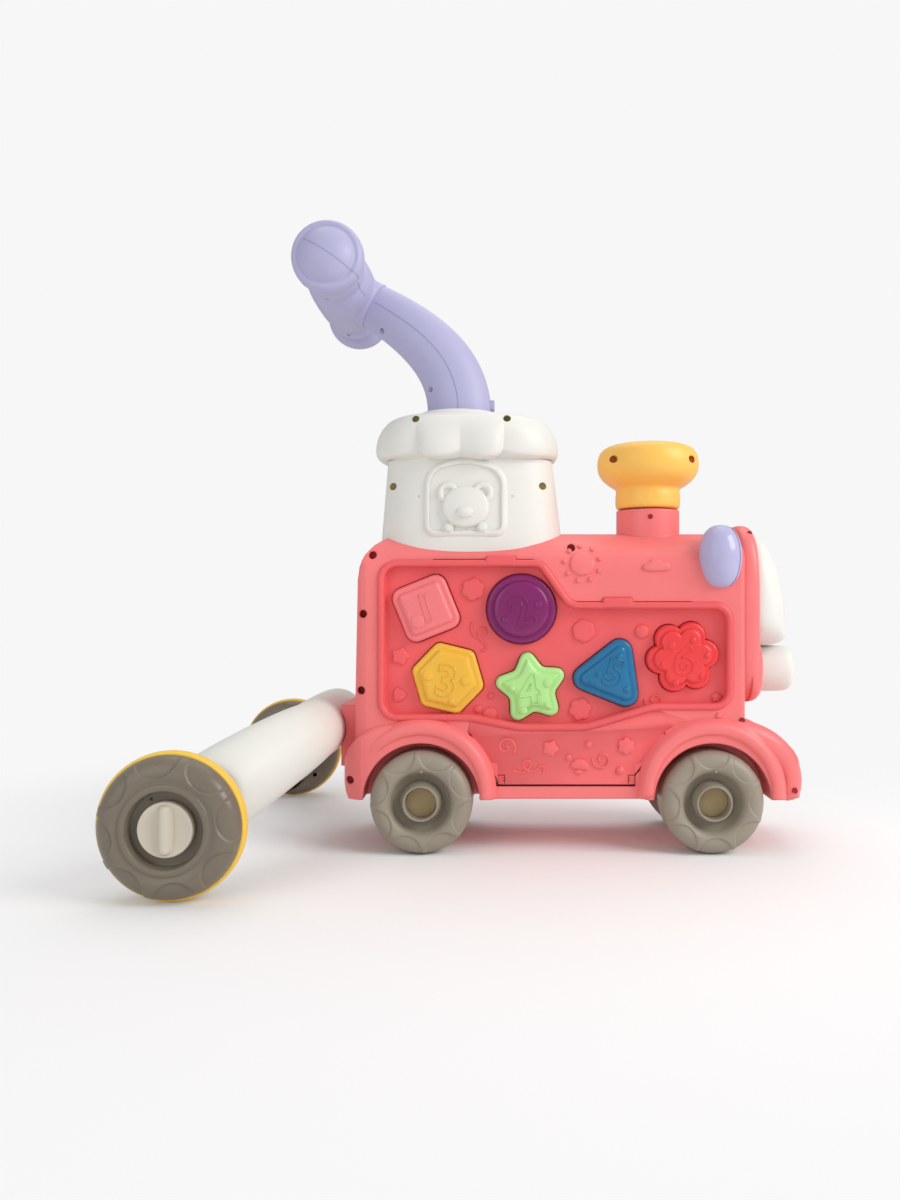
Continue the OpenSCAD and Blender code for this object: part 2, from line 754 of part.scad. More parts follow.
// Sloping floor that sends the blocks to the hatch
tray_y = body_y - wall - tray_gap;
tray_low_z = hatch_axis_z + hatch_knuckle_r;
module block_tray() {
    color("#e0595d") {
        along(rear_axle_x + well_r + wall + tray_gap, front_axle_x - well_r - wall - tray_gap) polygon([
            [-tray_y, tray_low_z], [tray_y, tray_low_z + tray_fall],
            [tray_y, tray_low_z + tray_fall + tray_t],
            [-tray_y, tray_low_z + tray_t]]);
        for (y = [-tray_rib_y, tray_rib_y])
            along(rear_axle_x + well_r + wall + tray_gap, front_axle_x - well_r - wall - tray_gap)
                polygon(rectangle(y - tray_t / 2, sill_z + wall, y + tray_t / 2,
                    tray_low_z + tray_fall * (y + tray_y) / (2 * tray_y) + tray_t / 2));
    }
}

// Train wheels, on axles that end in pressed caps
module axle(x) {
    color("#b9b0a0") {
        rod_y(x, -axle_y + cap_t, axle_y - cap_t, wheel_r, axle_r);
        rod_y(x, -axle_y + axle_end_l, axle_y - axle_end_l, wheel_r, axle_r / 2);
    }
}
module front_axle() { axle(front_axle_x); }
module rear_axle() { axle(rear_axle_x); }
module axle_cap(x) {
    difference() {
        rod_y(x, -axle_y, -axle_y + cap_t, wheel_r, hub_bore_r - play);
        rod_y(x, -axle_y + axle_end_l - fit, axle_y, wheel_r, axle_r / 2 + fit);
    }
}
module axle_caps() {
    color("#a08a62") for (x = axle_xs) {
        axle_cap(x);
        far_side() axle_cap(x);
    }
}
// Radius and width shares of a train wheel, from its inner face round to the dish
wheel_shares = [[0.93, 0], [1, 0.12], [1, 0.74], [0.975, 0.87], [0.9, 0.95], [0.8, 1], [0.72, 0.98],
    [0.65, 0.88]];
dish_share = 0.57;
hub_foot_share = 0.42;
hub_end_shares = [0.31, 0.97];
// Size, sink and depth of a petal as shares of the wheel's radius
petal_shares = [0.38, 0.07, 0.05];
module petal_cuts(x, z, r, y) {
    for (i = [0 : petals - 1])
        translate([x, 0, z]) rotate([0, 360 * (i + 1 / 2) / petals, 0])
            rod_y(r * (1 + petal_shares[0] / 2), -y - r, -y + petal_shares[1] * r, 0, petal_shares[0] * r);
}
module train_wheel(x) {
    color("#9a9080") difference() {
        turned_y(x, wheel_r, concat([[axle_r + run, wheel_in_y]],
            [for (s = wheel_shares) [s[0] * wheel_r, wheel_in_y + s[1] * wheel_w]],
            [[dish_share * wheel_r, hub_seat_y + cap_t], [hub_foot_share * wheel_r, hub_seat_y + cap_t],
            [hub_end_shares[0] * wheel_r, wheel_in_y + hub_end_shares[1] * wheel_w],
            [hub_bore_r, wheel_in_y + hub_end_shares[1] * wheel_w], [hub_bore_r, hub_seat_y],
            [axle_r + run, hub_seat_y]]));
        petal_cuts(x, wheel_r, wheel_r, wheel_y - petal_shares[2] * wheel_r);
    }
}
module wheel_front_right() { train_wheel(front_axle_x); }
module wheel_front_left() { far_side() train_wheel(front_axle_x); }
module wheel_rear_right() { train_wheel(rear_axle_x); }
module wheel_rear_left() { far_side() train_wheel(rear_axle_x); }

// Front end
plate_rise = 2;
plate_top_z = body_top_z + plate_rise;
function plate_outline(g) = concat([[-body_y + g, plate_z + g], [body_y - g, plate_z + g]],
    [for (a = [0 : 10 : 180]) [(body_y - g) * cos(a), shoulder_z + (plate_top_z - shoulder_z - g) * sin(a)]]);
module front_plate() {
    color("#ee6a6c") difference() {
        along(body_front_x, plate_x) polygon(plate_outline(0));
        along(body_front_x - overrun, plate_x - wall) polygon(plate_outline(wall));
    }
}
function dome_arc(r, t) = [for (a = [10 : 10 : 80]) [r * cos(a), t * sin(a)]];
module smokebox_dome() {
    inner = dome_arc(dome_r - wall, dome_t - wall);
    color("#f4f2ee") translate([plate_x, 0, 0]) turned_x(0, dome_z,
        concat([[dome_r, 0]], dome_arc(dome_r, dome_t), [[0, dome_t], [0, dome_t - wall]],
            [for (i = [len(inner) - 1 : -1 : 0]) inner[i]], [[dome_r - wall, 0]]));
}
module nose() {
    color("#f4f2ee") translate([plate_x, 0, 0]) turned_x(0, nose_z,
        concat([[nose_r, 0]],
            [for (a = [0 : 15 : 90])
                [nose_r - nose_edge_r * (1 - cos(a)), nose_l - nose_edge_r * (1 - sin(a))]],
            [[0, nose_l], [0, nose_l - wall], [nose_r - wall, nose_l - nose_edge_r], [nose_r - wall, 0]]));
}
module side_lamp() {
    color("#b3a8da") difference() {
        translate([lamp_x, -lamp_y, lamp_z]) rotate_extrude()
            polygon([for (a = [-90 : 10 : 90]) [lamp_r * cos(a), lamp_h / 2 * sin(a)]]);
        casing(fit);
        translate([body_front_x, -reach, 0]) cube([reach, reach, reach]);
    }
}
module side_lamp_right() { side_lamp(); }
module side_lamp_left() { far_side() side_lamp(); }

// Cab: tapered oval box standing on the crown
module cab_slice(x, z, l, w, g) {
    translate([x, 0, z]) linear_extrude(overrun)
        polygon([for (i = [0 : cab_steps - 1]) let (t = 360 * i / cab_steps)
            [(l / 2 + g) * signed_pow(cos(t), 2 / cab_power),
                (w / 2 + g) * signed_pow(sin(t), 2 / cab_power)]]);
}
module cab_form(g) {
    hull() {
        cab_slice(cab_x, body_top_z - cab_sink, cab_l, cab_w, g);
        cab_slice(cab_top_x, cab_top_z - overrun + (g < 0 ? g : 0), cab_top_l_share * cab_l,
            cab_top_w_share * cab_w, g);
    }
}
module stem_room(g) {
    translate([stem_x, 0, stem_foot_z]) linear_extrude(reach)
        polygon(ellipse(stem_l / 2 + g, stem_w / 2 + g, 2 * stem_sides));
}
cab_screw_x = cab_l / 2 - 3 * boss_r;
cab_screw_z = window_z + cab_screw_share * window_h;
cab_screw_places = [[cab_top_x - cab_screw_x, cab_screw_z], [cab_top_x + cab_screw_x, cab_screw_z]];
module cab_half(sorter) {
    difference() {
        right_half() union() {
            difference() {
                cab_form(0);
                cab_form(-wall);
            }
            intersection() {
                cab_form(0);
                union() {
                    translate([-reach, -reach, stem_foot_z - shelf_t]) cube([2 * reach, reach, shelf_t]);
                    for (p = cab_screw_places) rod_y(p[0], -cab_w, 0, p[1], boss_r);
                }
            }
        }
        casing(fit);
        translate([0, 0, -reach]) cylinder(r = reach, h = reach + shoulder_z);
        stem_room(play);
        for (p = cab_screw_places)
            if (sorter) screw_room(p[0], -screw_in, p[1]);
            else far_side() screw_room(p[0], -screw_in, p[1]);
        if (sorter) across(-reach, -cab_w / 2 * (1 + cab_top_w_share) / 2 + window_cut)
            polygon(rounded(rectangle(cab_top_x - window_l / 2, window_z, cab_top_x + window_l / 2,
                window_z + window_h), [edge_r, edge_r, window_l / 3, window_l / 3]));
    }
}
module cab_right() { color("#f6f4f0") cab_half(true); }
module cab_left() { color("#f6f4f0") far_side() cab_half(false); }

// Roof: rings of scallops that close in on the stem
function signed_pow(v, p) = sign(v) * pow(abs(v), p);
function roof_point(s, t, g) =
    let (swell = 1 - lobe_share * s[2] * (1 - abs(sin(scallops * t / 2 + 90 * scallops / 2))))
    [roof_x + (s[1] * roof_l / 2 * swell + g) * signed_pow(cos(t), 2 / roof_power),
        (s[1] * roof_w / 2 * swell + g) * signed_pow(sin(t), 2 / roof_power)];
module roof_form(g) {
    skin([for (s = roof_ring_shares)
        [for (i = [0 : roof_steps - 1])
            let (p = roof_point(s, 360 * i / roof_steps, g))
            [p[0], p[1], roof_z - g + s[0] * (roof_h + 2 * g)]]]);
}
roof_screw_x = stem_l / 2 + boss_r + wall;
roof_screw_z = roof_z + roof_screw_share * roof_h;
roof_screw_places = [[stem_x - roof_screw_x, roof_screw_z], [stem_x + roof_screw_x, roof_screw_z]];
module roof_half(sorter) {
    difference() {
        right_half() union() {
            difference() {
                roof_form(0);
                roof_form(-wall);
            }
            intersection() {
                roof_form(0);
                for (p = roof_screw_places) rod_y(p[0], -roof_w, 0, p[1], boss_r);
            }
        }
        stem_room(play);
        for (p = roof_screw_places)
            if (sorter) screw_room(p[0], -screw_in, p[1]);
            else far_side() screw_room(p[0], -screw_in, p[1]);
    }
}
module roof_right() { color("#f6f4f0") roof_half(true); }
module roof_left() { color("#f6f4f0") far_side() roof_half(false); }

// Handle: two half shells that part along the middle of the curved stem
grip_dx = grip_x - stem_x;
grip_dz = grip_z - roof_top_z;
stem_route = [for (s = stem_shares) [stem_x + s[0] * grip_dx, roof_top_z + s[1] * grip_dz]];
function stem_at(t) = cubic(stem_route, t);
function stem_way(t) = t <= 0 ? [0, 1]
    : unit(cubic(stem_route, t) - cubic(stem_route, t - 1 / (4 * stem_steps)));
function stem_size(t) = 1 - (1 - stem_taper_share) * pow(t, stem_taper_power);
// Ring about a point of the stem's route, from angle u0 to u1, drawn in by g
function stem_ring(c, way, size, u0, u1, g) =
    [for (k = [0 : stem_sides])
        let (u = u0 + (u1 - u0) * k / stem_sides, d = (stem_l / 2 * size - g) * sin(u))
        [c[0] + way[1] * d, (stem_w / 2 * size - g) * -cos(u), c[1] - way[0] * d]];
// Stem drawn in by g, longer by e at its foot and at its upper end
module stem_form(u0, u1, g, e) {
    tip = stem_way(1);
    skin(concat([stem_ring([stem_x, stem_foot_z - e], [0, 1], 1, u0, u1, g)],
        [for (t = steps(stem_steps)) stem_ring(stem_at(t), stem_way(t), stem_size(t), u0, u1, g)],
        e > 0 ? [stem_ring(stem_at(1) + e * tip, tip, stem_size(1), u0, u1, g)] : []));
}
// Socket of the grip round the stem's upper end
module socket_form(u0, u1) {
    skin([for (t = socket_shares) stem_ring(stem_at(t), stem_way(t), stem_size(t), u0, u1, -socket_out)]);
}
module stem_half(side) {
    difference() {
        union() {
            stem_form(side > 0 ? 0 : 180, side > 0 ? 180 : 360, 0, 0);
            socket_form(side > 0 ? 0 : 180, side > 0 ? 180 : 360);
        }
        stem_form(0, 360 * stem_sides / (stem_sides + 1), wall, overrun);
    }
}
grip_turn = atan2(grip_dz * (stem_shares[3][1] - stem_shares[2][1]),
    -grip_dx * (stem_shares[3][0] - stem_shares[2][0]));
function grip_outline(g) = concat([[0, 0]],
    [for (s = grip_shares) [max(s[0] * grip_r - g, run), s[1] * (grip_l / 2 - g)]],
    [[0, grip_l / 2 - g]]);
module grip_form(g) {
    for (m = [0, 1]) mirror([0, m, 0]) turned_y(0, 0, grip_outline(g));
}
// Half space on one side of the parting plane through the grip
module grip_side(side, r) {
    translate([grip_x, 0, grip_z]) rotate([0, grip_turn, 0])
        translate([-r, -reach, side > 0 ? 0 : -r]) cube([2 * r, 2 * reach, r]);
}
latch_z = roof_top_z + latch_rise + latch_l / 2;
stem_front_x = stem_x + stem_l / 2;
latch_foot_x = stem_front_x - wall - latch_travel - latch_flange_t - play;
module latch_room(g) {
    translate([latch_foot_x, -latch_w / 2 - g, latch_z - latch_l / 2 - g])
        cube([stem_l, latch_w + 2 * g, latch_l + 2 * g]);
    translate([latch_foot_x, -latch_w / 2 - latch_flange - g, latch_z - latch_l / 2 - latch_flange - g])
        cube([latch_flange_t + g, latch_w + 2 * latch_flange + 2 * g, latch_l + 2 * latch_flange + 2 * g]);
}
module handle_half(side) {
    difference() {
        union() {
            intersection() {
                translate([grip_x, 0, grip_z]) difference() {
                    grip_form(0);
                    grip_form(wall);
                }
                grip_side(side, 2 * grip_r);
            }
            difference() {
                stem_half(side);
                grip_side(-side, grip_r);
            }
            for (t = handle_screw_shares) at_stem(t) {
                pillar_l = stem_l / 2 * stem_size(t) - wall / 2;
                rod_x(side > 0 ? 0 : -pillar_l, side > 0 ? pillar_l : 0, 0, 0, boss_r);
            }
        }
        handle_screw_room();
    }
}
function handle_screw_at(t) = let (c = stem_at(t), w = stem_way(t)) [c[0], c[1], atan2(w[0], w[1])];
handle_screw_shares = [0.25, 0.62];
handle_screw_l = 18;
module at_stem(t) {
    p = handle_screw_at(t);
    translate([p[0], 0, p[1]]) rotate([0, p[2], 0]) children();
}
module handle_screw_room() {
    for (t = handle_screw_shares) at_stem(t) {
        rod_x(-reach, handle_screw_l / 2 + screw_gap, 0, 0, screw_r + run);
        rod_x(-reach, -handle_screw_l / 2, 0, 0, screw_head_r + screw_gap);
    }
}
module handle_outer() {
    color("#b9aee0") difference() {
        union() {
            handle_half(1);
            translate([stem_x + fit, -stem_w / 2 + wall / 2, latch_z - latch_l])
                cube([rib_t, stem_w - wall, 2 * latch_l]);
        }
        latch_room(play);
    }
}
module handle_inner() { color("#b9aee0") handle_half(-1); }
module handle_latch() {
    color("#b9aee0") {
        translate([latch_foot_x, -latch_w / 2, latch_z - latch_l / 2])
            cube([stem_front_x + latch_out - latch_foot_x, latch_w, latch_l]);
        translate([latch_foot_x, -latch_w / 2 - latch_flange, latch_z - latch_l / 2 - latch_flange])
            cube([latch_flange_t, latch_w + 2 * latch_flange, latch_l + 2 * latch_flange]);
    }
}
spring_x = stem_x + fit + rib_t;
spring_l = latch_foot_x - spring_x;
module latch_spring() {
    ring_n = 8 * spring_turns;
    pitch_run = spring_l - 2 * spring_wire_r;
    color("#c9c9c4") skin([for (i = [0 : ring_n])
        let (a = 360 * i / 8, x = spring_x + spring_wire_r + pitch_run * i / ring_n)
        [for (k = [0 : 5]) let (b = 360 * k / 6, r = spring_r + spring_wire_r * cos(b))
            [x + spring_wire_r * sin(b), r * cos(a), latch_z + r * sin(a)]]]);
}

// Chimney: two halves round a flanged post
module chimney_post() {
    color("#e0595d") translate([chimney_x, 0, 0]) {
        translate([0, 0, collar_top_z - collar_wall - post_flange_t - fit])
            cylinder(r = post_flange_r, h = post_flange_t);
        translate([0, 0, collar_top_z - collar_wall - post_flange_t - fit])
            cylinder(r = post_r, h = collar_wall + 2 * post_flange_t + knob_gap + knob_floor + play + fit);
        translate([0, 0, collar_top_z + knob_gap + knob_floor + play])
            cylinder(r = post_flange_r, h = post_flange_t);
    }
}
knob_z = collar_top_z + knob_gap;
knob_screw_x = knob_screw_shares[0] * knob_r;
knob_screw_z = knob_z + knob_screw_shares[1] * knob_h;
knob_screw_places = [[chimney_x - knob_screw_x, knob_screw_z], [chimney_x + knob_screw_x, knob_screw_z]];
module chimney_half(sorter) {
    difference() {
        right_half() translate([chimney_x, 0, knob_z]) rotate_extrude()
            polygon(concat([[0, 0]], [for (s = knob_shares) [s[0] * knob_r, s[1] * knob_h]], [[0, knob_h]]));
        translate([chimney_x, 0, knob_z + knob_floor])
            cylinder(r = knob_cavity_share * knob_r, h = knob_h - 2 * knob_floor);
        translate([chimney_x, 0, knob_z - overrun]) cylinder(r = post_r + play, h = knob_floor + 2 * overrun);
        for (p = knob_screw_places)
            if (sorter) screw_room(p[0], -screw_in, p[1]);
            else far_side() screw_room(p[0], -screw_in, p[1]);
    }
}
module chimney_knob_right() { color("#f7b844") chimney_half(true); }
module chimney_knob_left() { color("#f7b844") far_side() chimney_half(false); }

// Screws of the two-part mouldings
module screws(places) { color("#b8b8b4") for (p = places) screw(p[0], -screw_in, p[1]); }
module body_screws() { screws(body_screw_places); }
module cab_screws() { screws(cab_screw_places); }
module roof_screws() { screws(roof_screw_places); }
module chimney_screws() { screws(knob_screw_places); }
module handle_screws() {
    color("#b8b8b4") for (t = handle_screw_shares) at_stem(t) {
        rod_x(-handle_screw_l / 2, handle_screw_l / 2, 0, 0, screw_r);
        rod_x(-handle_screw_l / 2 - screw_head_t, -handle_screw_l / 2, 0, 0, screw_head_r);
    }
}

// Fork: cross bar in an upper and a lower half, and two flared legs
module bar_form(g) {
    rod_y(bar_x, -bar_y, bar_y, bar_z, bar_r + g);
    rod_x(bar_x, body_rear_x + plug_l + g, 0, bar_z, plug_r + g);
}
module bar_half(side) {
    difference() {
        bar_form(0);
        rod_y(bar_x, -bar_y + wall, bar_y - wall, bar_z, bar_r - wall);
        translate([-reach, -reach, side > 0 ? bar_z - reach : bar_z]) cube([2 * reach, 2 * reach, reach]);
    }
}
module fork_bar_upper() { color("#f3f3ec") bar_half(1); }
module fork_bar_lower() { color("#f3f3ec") bar_half(-1); }
leg_from = [bar_x, -bar_y, bar_z];
leg_to = [rear_x, -leg_y, rear_r];
leg_route = [for (s = leg_shares) [for (i = [0 : 2]) leg_from[i] + s[i] * (leg_to[i] - leg_from[i])]];
function leg_way(t) = t <= 0 ? [0, -1, 0]
    : unit(cubic(leg_route, t) - cubic(leg_route, t - 1 / (4 * leg_steps)));
function leg_r(t) = bar_r + (leg_end_r - bar_r) * pow(t, leg_flare_power);
function leg_ring(c, w, r) = let (side = unit(cross(w, [0, 0, 1])), up = cross(side, w))
    [for (k = [0 : leg_sides - 1]) let (a = 360 * k / leg_sides) c + r * (cos(a) * side - sin(a) * up)];
// Leg drawn in by g, from e before its elbow to a share of its route, then on by f
module leg_form(g, e, share, f) {
    skin(concat([leg_ring(leg_from + [0, e, 0], [0, -1, 0], bar_r - g)],
        [for (t = steps(leg_steps)) if (t > 0)
            leg_ring(cubic(leg_route, share * t), leg_way(share * t), leg_r(share * t) - g)],
        [leg_ring(cubic(leg_route, share) + f * leg_way(share), leg_way(share), leg_r(share) - g)]));
}
module fork_leg() {
    difference() {
        leg_form(0, 0, 1, leg_end_r);
        leg_form(wall, overrun, leg_hollow_share, overrun);
        translate([-reach, -reach - leg_y, -reach]) cube([2 * reach, reach, 2 * reach]);
        rod_y(rear_x, -reach, -rear_in_y + spindle_in, rear_r, spindle_r + run);
    }
}
module fork_leg_right() { color("#f3f3ec") fork_leg(); }
module fork_leg_left() { color("#f3f3ec") far_side() fork_leg(); }
module spindle() {
    rod_y(rear_x, -rear_in_y - inner_hub_l - play, -rear_in_y + spindle_in, rear_r, spindle_r);
    rod_y(rear_x, -rear_in_y - inner_hub_l - play - spindle_head_t, -rear_in_y - inner_hub_l - play, rear_r,
        spindle_head_r);
}
module spindle_right() { color("#b8b8b4") spindle(); }
module spindle_left() { color("#b8b8b4") far_side() spindle(); }

// Rear wheels: inner and outer halves with a rubber band between them
// Radius and width shares of the wheel's parts
inner_rim_shares = [0.85, 0.4];
inner_web_shares = [0.8, 0.5];
band_edge_shares = [0.2, 0.3];
outer_shares = [[0.96, 0.3], [0.92, 0.65], [0.84, 0.9], [0.75, 1], [0.68, 0.95]];
dish_shares = [0.75, 0.55];
speed_edge_shares = [0.94, 0.8];
speed_rib_share = 0.85;
rim_r = rear_r - tread_drop;
outer_t = rear_y - outer_y0;
module big_wheel_inner() {
    color("#8f8676") turned_y(rear_x, rear_r, [[spindle_r + run, rear_in_y],
        [inner_rim_shares[0] * rear_r, rear_in_y],
        [rim_r, rear_in_y + inner_rim_shares[1] * inner_t], [rim_r, band_y], [rim_r - web_t, band_y],
        [rim_r - web_t, rear_in_y + inner_web_shares[1] * inner_t],
        [inner_web_shares[0] * rear_r, rear_in_y + web_t],
        [spindle_r + 2 * web_t, rear_in_y + web_t], [spindle_r + 2 * web_t, rear_in_y + inner_hub_l],
        [spindle_r + run, rear_in_y + inner_hub_l]]);
}
module rubber_band() {
    edge = band_edge_shares[0] * band_depth;
    step = band_edge_shares[1] * band_w;
    color("#f2c53f") turned_y(rear_x, rear_r, [[rear_r - band_depth, band_y], [rear_r - edge, band_y],
        [rear_r, band_y + step], [rear_r, outer_y0 - step], [rear_r - edge, outer_y0],
        [rear_r - band_depth, outer_y0]]);
}
module big_wheel_outer() {
    color("#9a9080") difference() {
        turned_y(rear_x, rear_r, concat([[knob_shaft_r + run, recess_y - web_t], [recess_r, recess_y - web_t],
            [dish_r, outer_y0], [rim_r, outer_y0]],
            [for (s = outer_shares) [s[0] * rear_r, outer_y0 + s[1] * outer_t]],
            [[dish_r, outer_y0 + dish_shares[0] * outer_t], [recess_r, outer_y0 + dish_shares[1] * outer_t],
            [recess_r - web_t / 2, recess_y], [knob_shaft_r + run, recess_y]]));
        petal_cuts(rear_x, rear_r, rear_r, rear_y - petal_shares[2] * rear_r);
    }
}
module speed_knob() {
    knob_y = recess_y + play;
    color("#d8d0c0") {
        turned_y(rear_x, rear_r, [[0, recess_y - web_t - play], [knob_shaft_r, recess_y - web_t - play],
            [knob_shaft_r, knob_y], [speed_r, knob_y], [speed_r, knob_y + speed_edge_shares[1] * speed_t],
            [speed_edge_shares[0] * speed_r, knob_y + speed_t], [0, knob_y + speed_t]]);
        translate([rear_x - speed_rib_w / 2, -knob_y - speed_t - speed_rib_h,
            rear_r - speed_rib_share * speed_r])
            cube([speed_rib_w, speed_rib_h + speed_t / 2, 2 * speed_rib_share * speed_r]);
    }
}
module big_wheel_inner_right() { big_wheel_inner(); }
module big_wheel_inner_left() { far_side() big_wheel_inner(); }
module rubber_band_right() { rubber_band(); }
module rubber_band_left() { far_side() rubber_band(); }
module big_wheel_outer_right() { big_wheel_outer(); }
module big_wheel_outer_left() { far_side() big_wheel_outer(); }
module speed_knob_right() { speed_knob(); }
module speed_knob_left() { far_side() speed_knob(); }

body_shell_right();
body_shell_left();
sorter_panel();
side_panel();
block_tray();
front_axle();
rear_axle();
axle_caps();
front_plate();
smokebox_dome();
nose();
side_lamp_right();
side_lamp_left();
cab_right();
cab_left();
roof_right();
roof_left();
chimney_post();
body_screws();
cab_screws();
roof_screws();
hatch_flap();
hatch_rod();
block_square();
block_circle();
block_hexagon();
block_star();
block_triangle();
block_flower();
wheel_front_right();
wheel_front_left();
wheel_rear_right();
wheel_rear_left();
chimney_knob_right();
chimney_knob_left();
chimney_screws();
handle_outer();
handle_inner();
handle_screws();
handle_latch();
latch_spring();
fork_bar_upper();
fork_bar_lower();
fork_leg_right();
fork_leg_left();
spindle_right();
spindle_left();
big_wheel_outer_right();
big_wheel_inner_right();
rubber_band_right();
speed_knob_right();
big_wheel_outer_left();
big_wheel_inner_left();
rubber_band_left();
speed_knob_left();
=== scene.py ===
import math

import bmesh
import bpy
import numpy as np
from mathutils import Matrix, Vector


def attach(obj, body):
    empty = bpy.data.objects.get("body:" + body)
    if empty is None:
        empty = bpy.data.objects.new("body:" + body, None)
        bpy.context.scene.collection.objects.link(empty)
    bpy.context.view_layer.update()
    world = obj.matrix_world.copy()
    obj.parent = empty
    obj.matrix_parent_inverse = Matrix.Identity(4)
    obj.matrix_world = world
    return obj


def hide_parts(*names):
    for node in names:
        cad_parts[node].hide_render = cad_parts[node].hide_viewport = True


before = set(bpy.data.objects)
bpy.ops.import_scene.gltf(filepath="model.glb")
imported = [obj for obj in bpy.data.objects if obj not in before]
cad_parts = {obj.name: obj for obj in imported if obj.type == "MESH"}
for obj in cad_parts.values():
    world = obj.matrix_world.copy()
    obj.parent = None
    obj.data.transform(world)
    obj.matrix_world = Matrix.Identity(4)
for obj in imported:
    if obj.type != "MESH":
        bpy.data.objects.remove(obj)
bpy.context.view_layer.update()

# Studio: a pale floor under soft light, seen square on from the sorter side.
# The lens and its shift repeat the photograph's close, wide view.
scene = bpy.context.scene
scene.view_settings.view_transform = "Standard"
lens = bpy.data.cameras.new("photo_lens")
lens.sensor_fit = "VERTICAL"
lens.sensor_height = 36.0
lens.lens = 27.6
lens.shift_x = -0.0483
lens.shift_y = 0.0058
lens.clip_start = 0.02
camera = bpy.data.objects.new("photo_camera", lens)
camera.location = (0.0151, -0.724, 0.180)
camera.rotation_euler = (math.pi / 2, 0.0, 0.0)
scene.collection.objects.link(camera)
scene.camera = camera


def soft_lamp(name, place, towards, width, watts, tint=(1.0, 1.0, 1.0)):
    """A square diffused lamp that shines from one place towards another."""
    light = bpy.data.lights.new(name, "AREA")
    light.size = width
    light.energy = watts
    light.color = tint
    lamp = bpy.data.objects.new(name, light)
    lamp.location = place
    way = Vector(towards) - Vector(place)
    lamp.rotation_euler = way.to_track_quat("-Z", "Y").to_euler()
    scene.collection.objects.link(lamp)


soft_lamp("key_lamp", (1.5, -0.8, 1.1), (0.0, 0.0, 0.18), 1.0, 21.5, (1.0, 0.995, 0.98))
soft_lamp("fill_lamp", (-1.1, -1.5, 0.7), (0.0, 0.0, 0.15), 1.3, 6.5, (0.98, 0.99, 1.0))
soft_lamp("top_lamp", (0.0, 0.35, 1.6), (0.0, 0.0, 0.2), 1.4, 7.0)


def add_node(tree, kind, **inputs):
    """New shader node with some of its inputs set, their names written with underscores."""
    node = tree.nodes.new("ShaderNode" + kind)
    for name, value in inputs.items():
        node.inputs[name.replace("_", " ")].default_value = value
    return node


air = bpy.data.worlds.new("studio_air")
air.use_nodes = True
tree = air.node_tree
sky = tree.nodes["Background"]
path = add_node(tree, "LightPath")
seen = add_node(tree, "Math")
seen.operation = "MAXIMUM"
level = add_node(tree, "MapRange", To_Min=0.5, To_Max=0.93)
tree.links.new(path.outputs["Is Camera Ray"], seen.inputs[0])
tree.links.new(path.outputs["Is Transmission Ray"], seen.inputs[1])
tree.links.new(seen.outputs["Value"], level.inputs["Value"])
tree.links.new(level.outputs["Result"], sky.inputs["Strength"])
sky.inputs["Color"].default_value = (1.0, 1.0, 1.0, 1.0)
scene.world = air

paper_white = (0.93, 0.93, 0.93, 1.0)
floor_mesh = bpy.data.meshes.new("studio_floor")
floor_mesh.from_pydata([(-4, -4, 0), (4, -4, 0), (4, 4, 0), (-4, 4, 0)], [], [(0, 1, 2, 3)])
floor = bpy.data.objects.new("studio_floor", floor_mesh)
floor.location.z = -0.0006
scene.collection.objects.link(floor)
paper = bpy.data.materials.new("studio_paper")
paper.use_nodes = True
tree = paper.node_tree
coat = tree.nodes["Principled BSDF"]
coat.inputs["Base Color"].default_value = paper_white
coat.inputs["Roughness"].default_value = 0.9
coat.inputs["Specular IOR Level"].default_value = 0.0
glow = add_node(tree, "Emission", Color=paper_white)
where = add_node(tree, "TexCoord")
far = add_node(tree, "VectorMath")
far.operation = "LENGTH"
fade = add_node(tree, "MapRange", From_Min=0.15, From_Max=0.62)
fade.interpolation_type = "SMOOTHSTEP"
path = add_node(tree, "LightPath")
both = add_node(tree, "Math")
both.operation = "MULTIPLY"
mix = add_node(tree, "MixShader")
tree.links.new(where.outputs["Object"], far.inputs[0])
tree.links.new(far.outputs["Value"], fade.inputs["Value"])
tree.links.new(fade.outputs["Result"], both.inputs[0])
tree.links.new(path.outputs["Is Camera Ray"], both.inputs[1])
tree.links.new(both.outputs["Value"], mix.inputs["Fac"])
tree.links.new(coat.outputs["BSDF"], mix.inputs[1])
tree.links.new(glow.outputs["Emission"], mix.inputs[2])
tree.links.new(mix.outputs["Shader"], tree.nodes["Material Output"].inputs["Surface"])
floor_mesh.materials.append(paper)


# Casing: two mouldings of coral plastic that meet on the middle plane, with the fenders, wheel arches,
# chimney collar and fork cradle in one piece with them. Long steel screws from the right hold the halves.
def shade(code):
    """Linear colour of a six-digit screen colour."""
    parts = [int(code[i:i + 2], 16) / 255 for i in (0, 2, 4)]
    return [p / 12.92 if p <= 0.04045 else ((p + 0.055) / 1.055) ** 2.4 for p in parts]


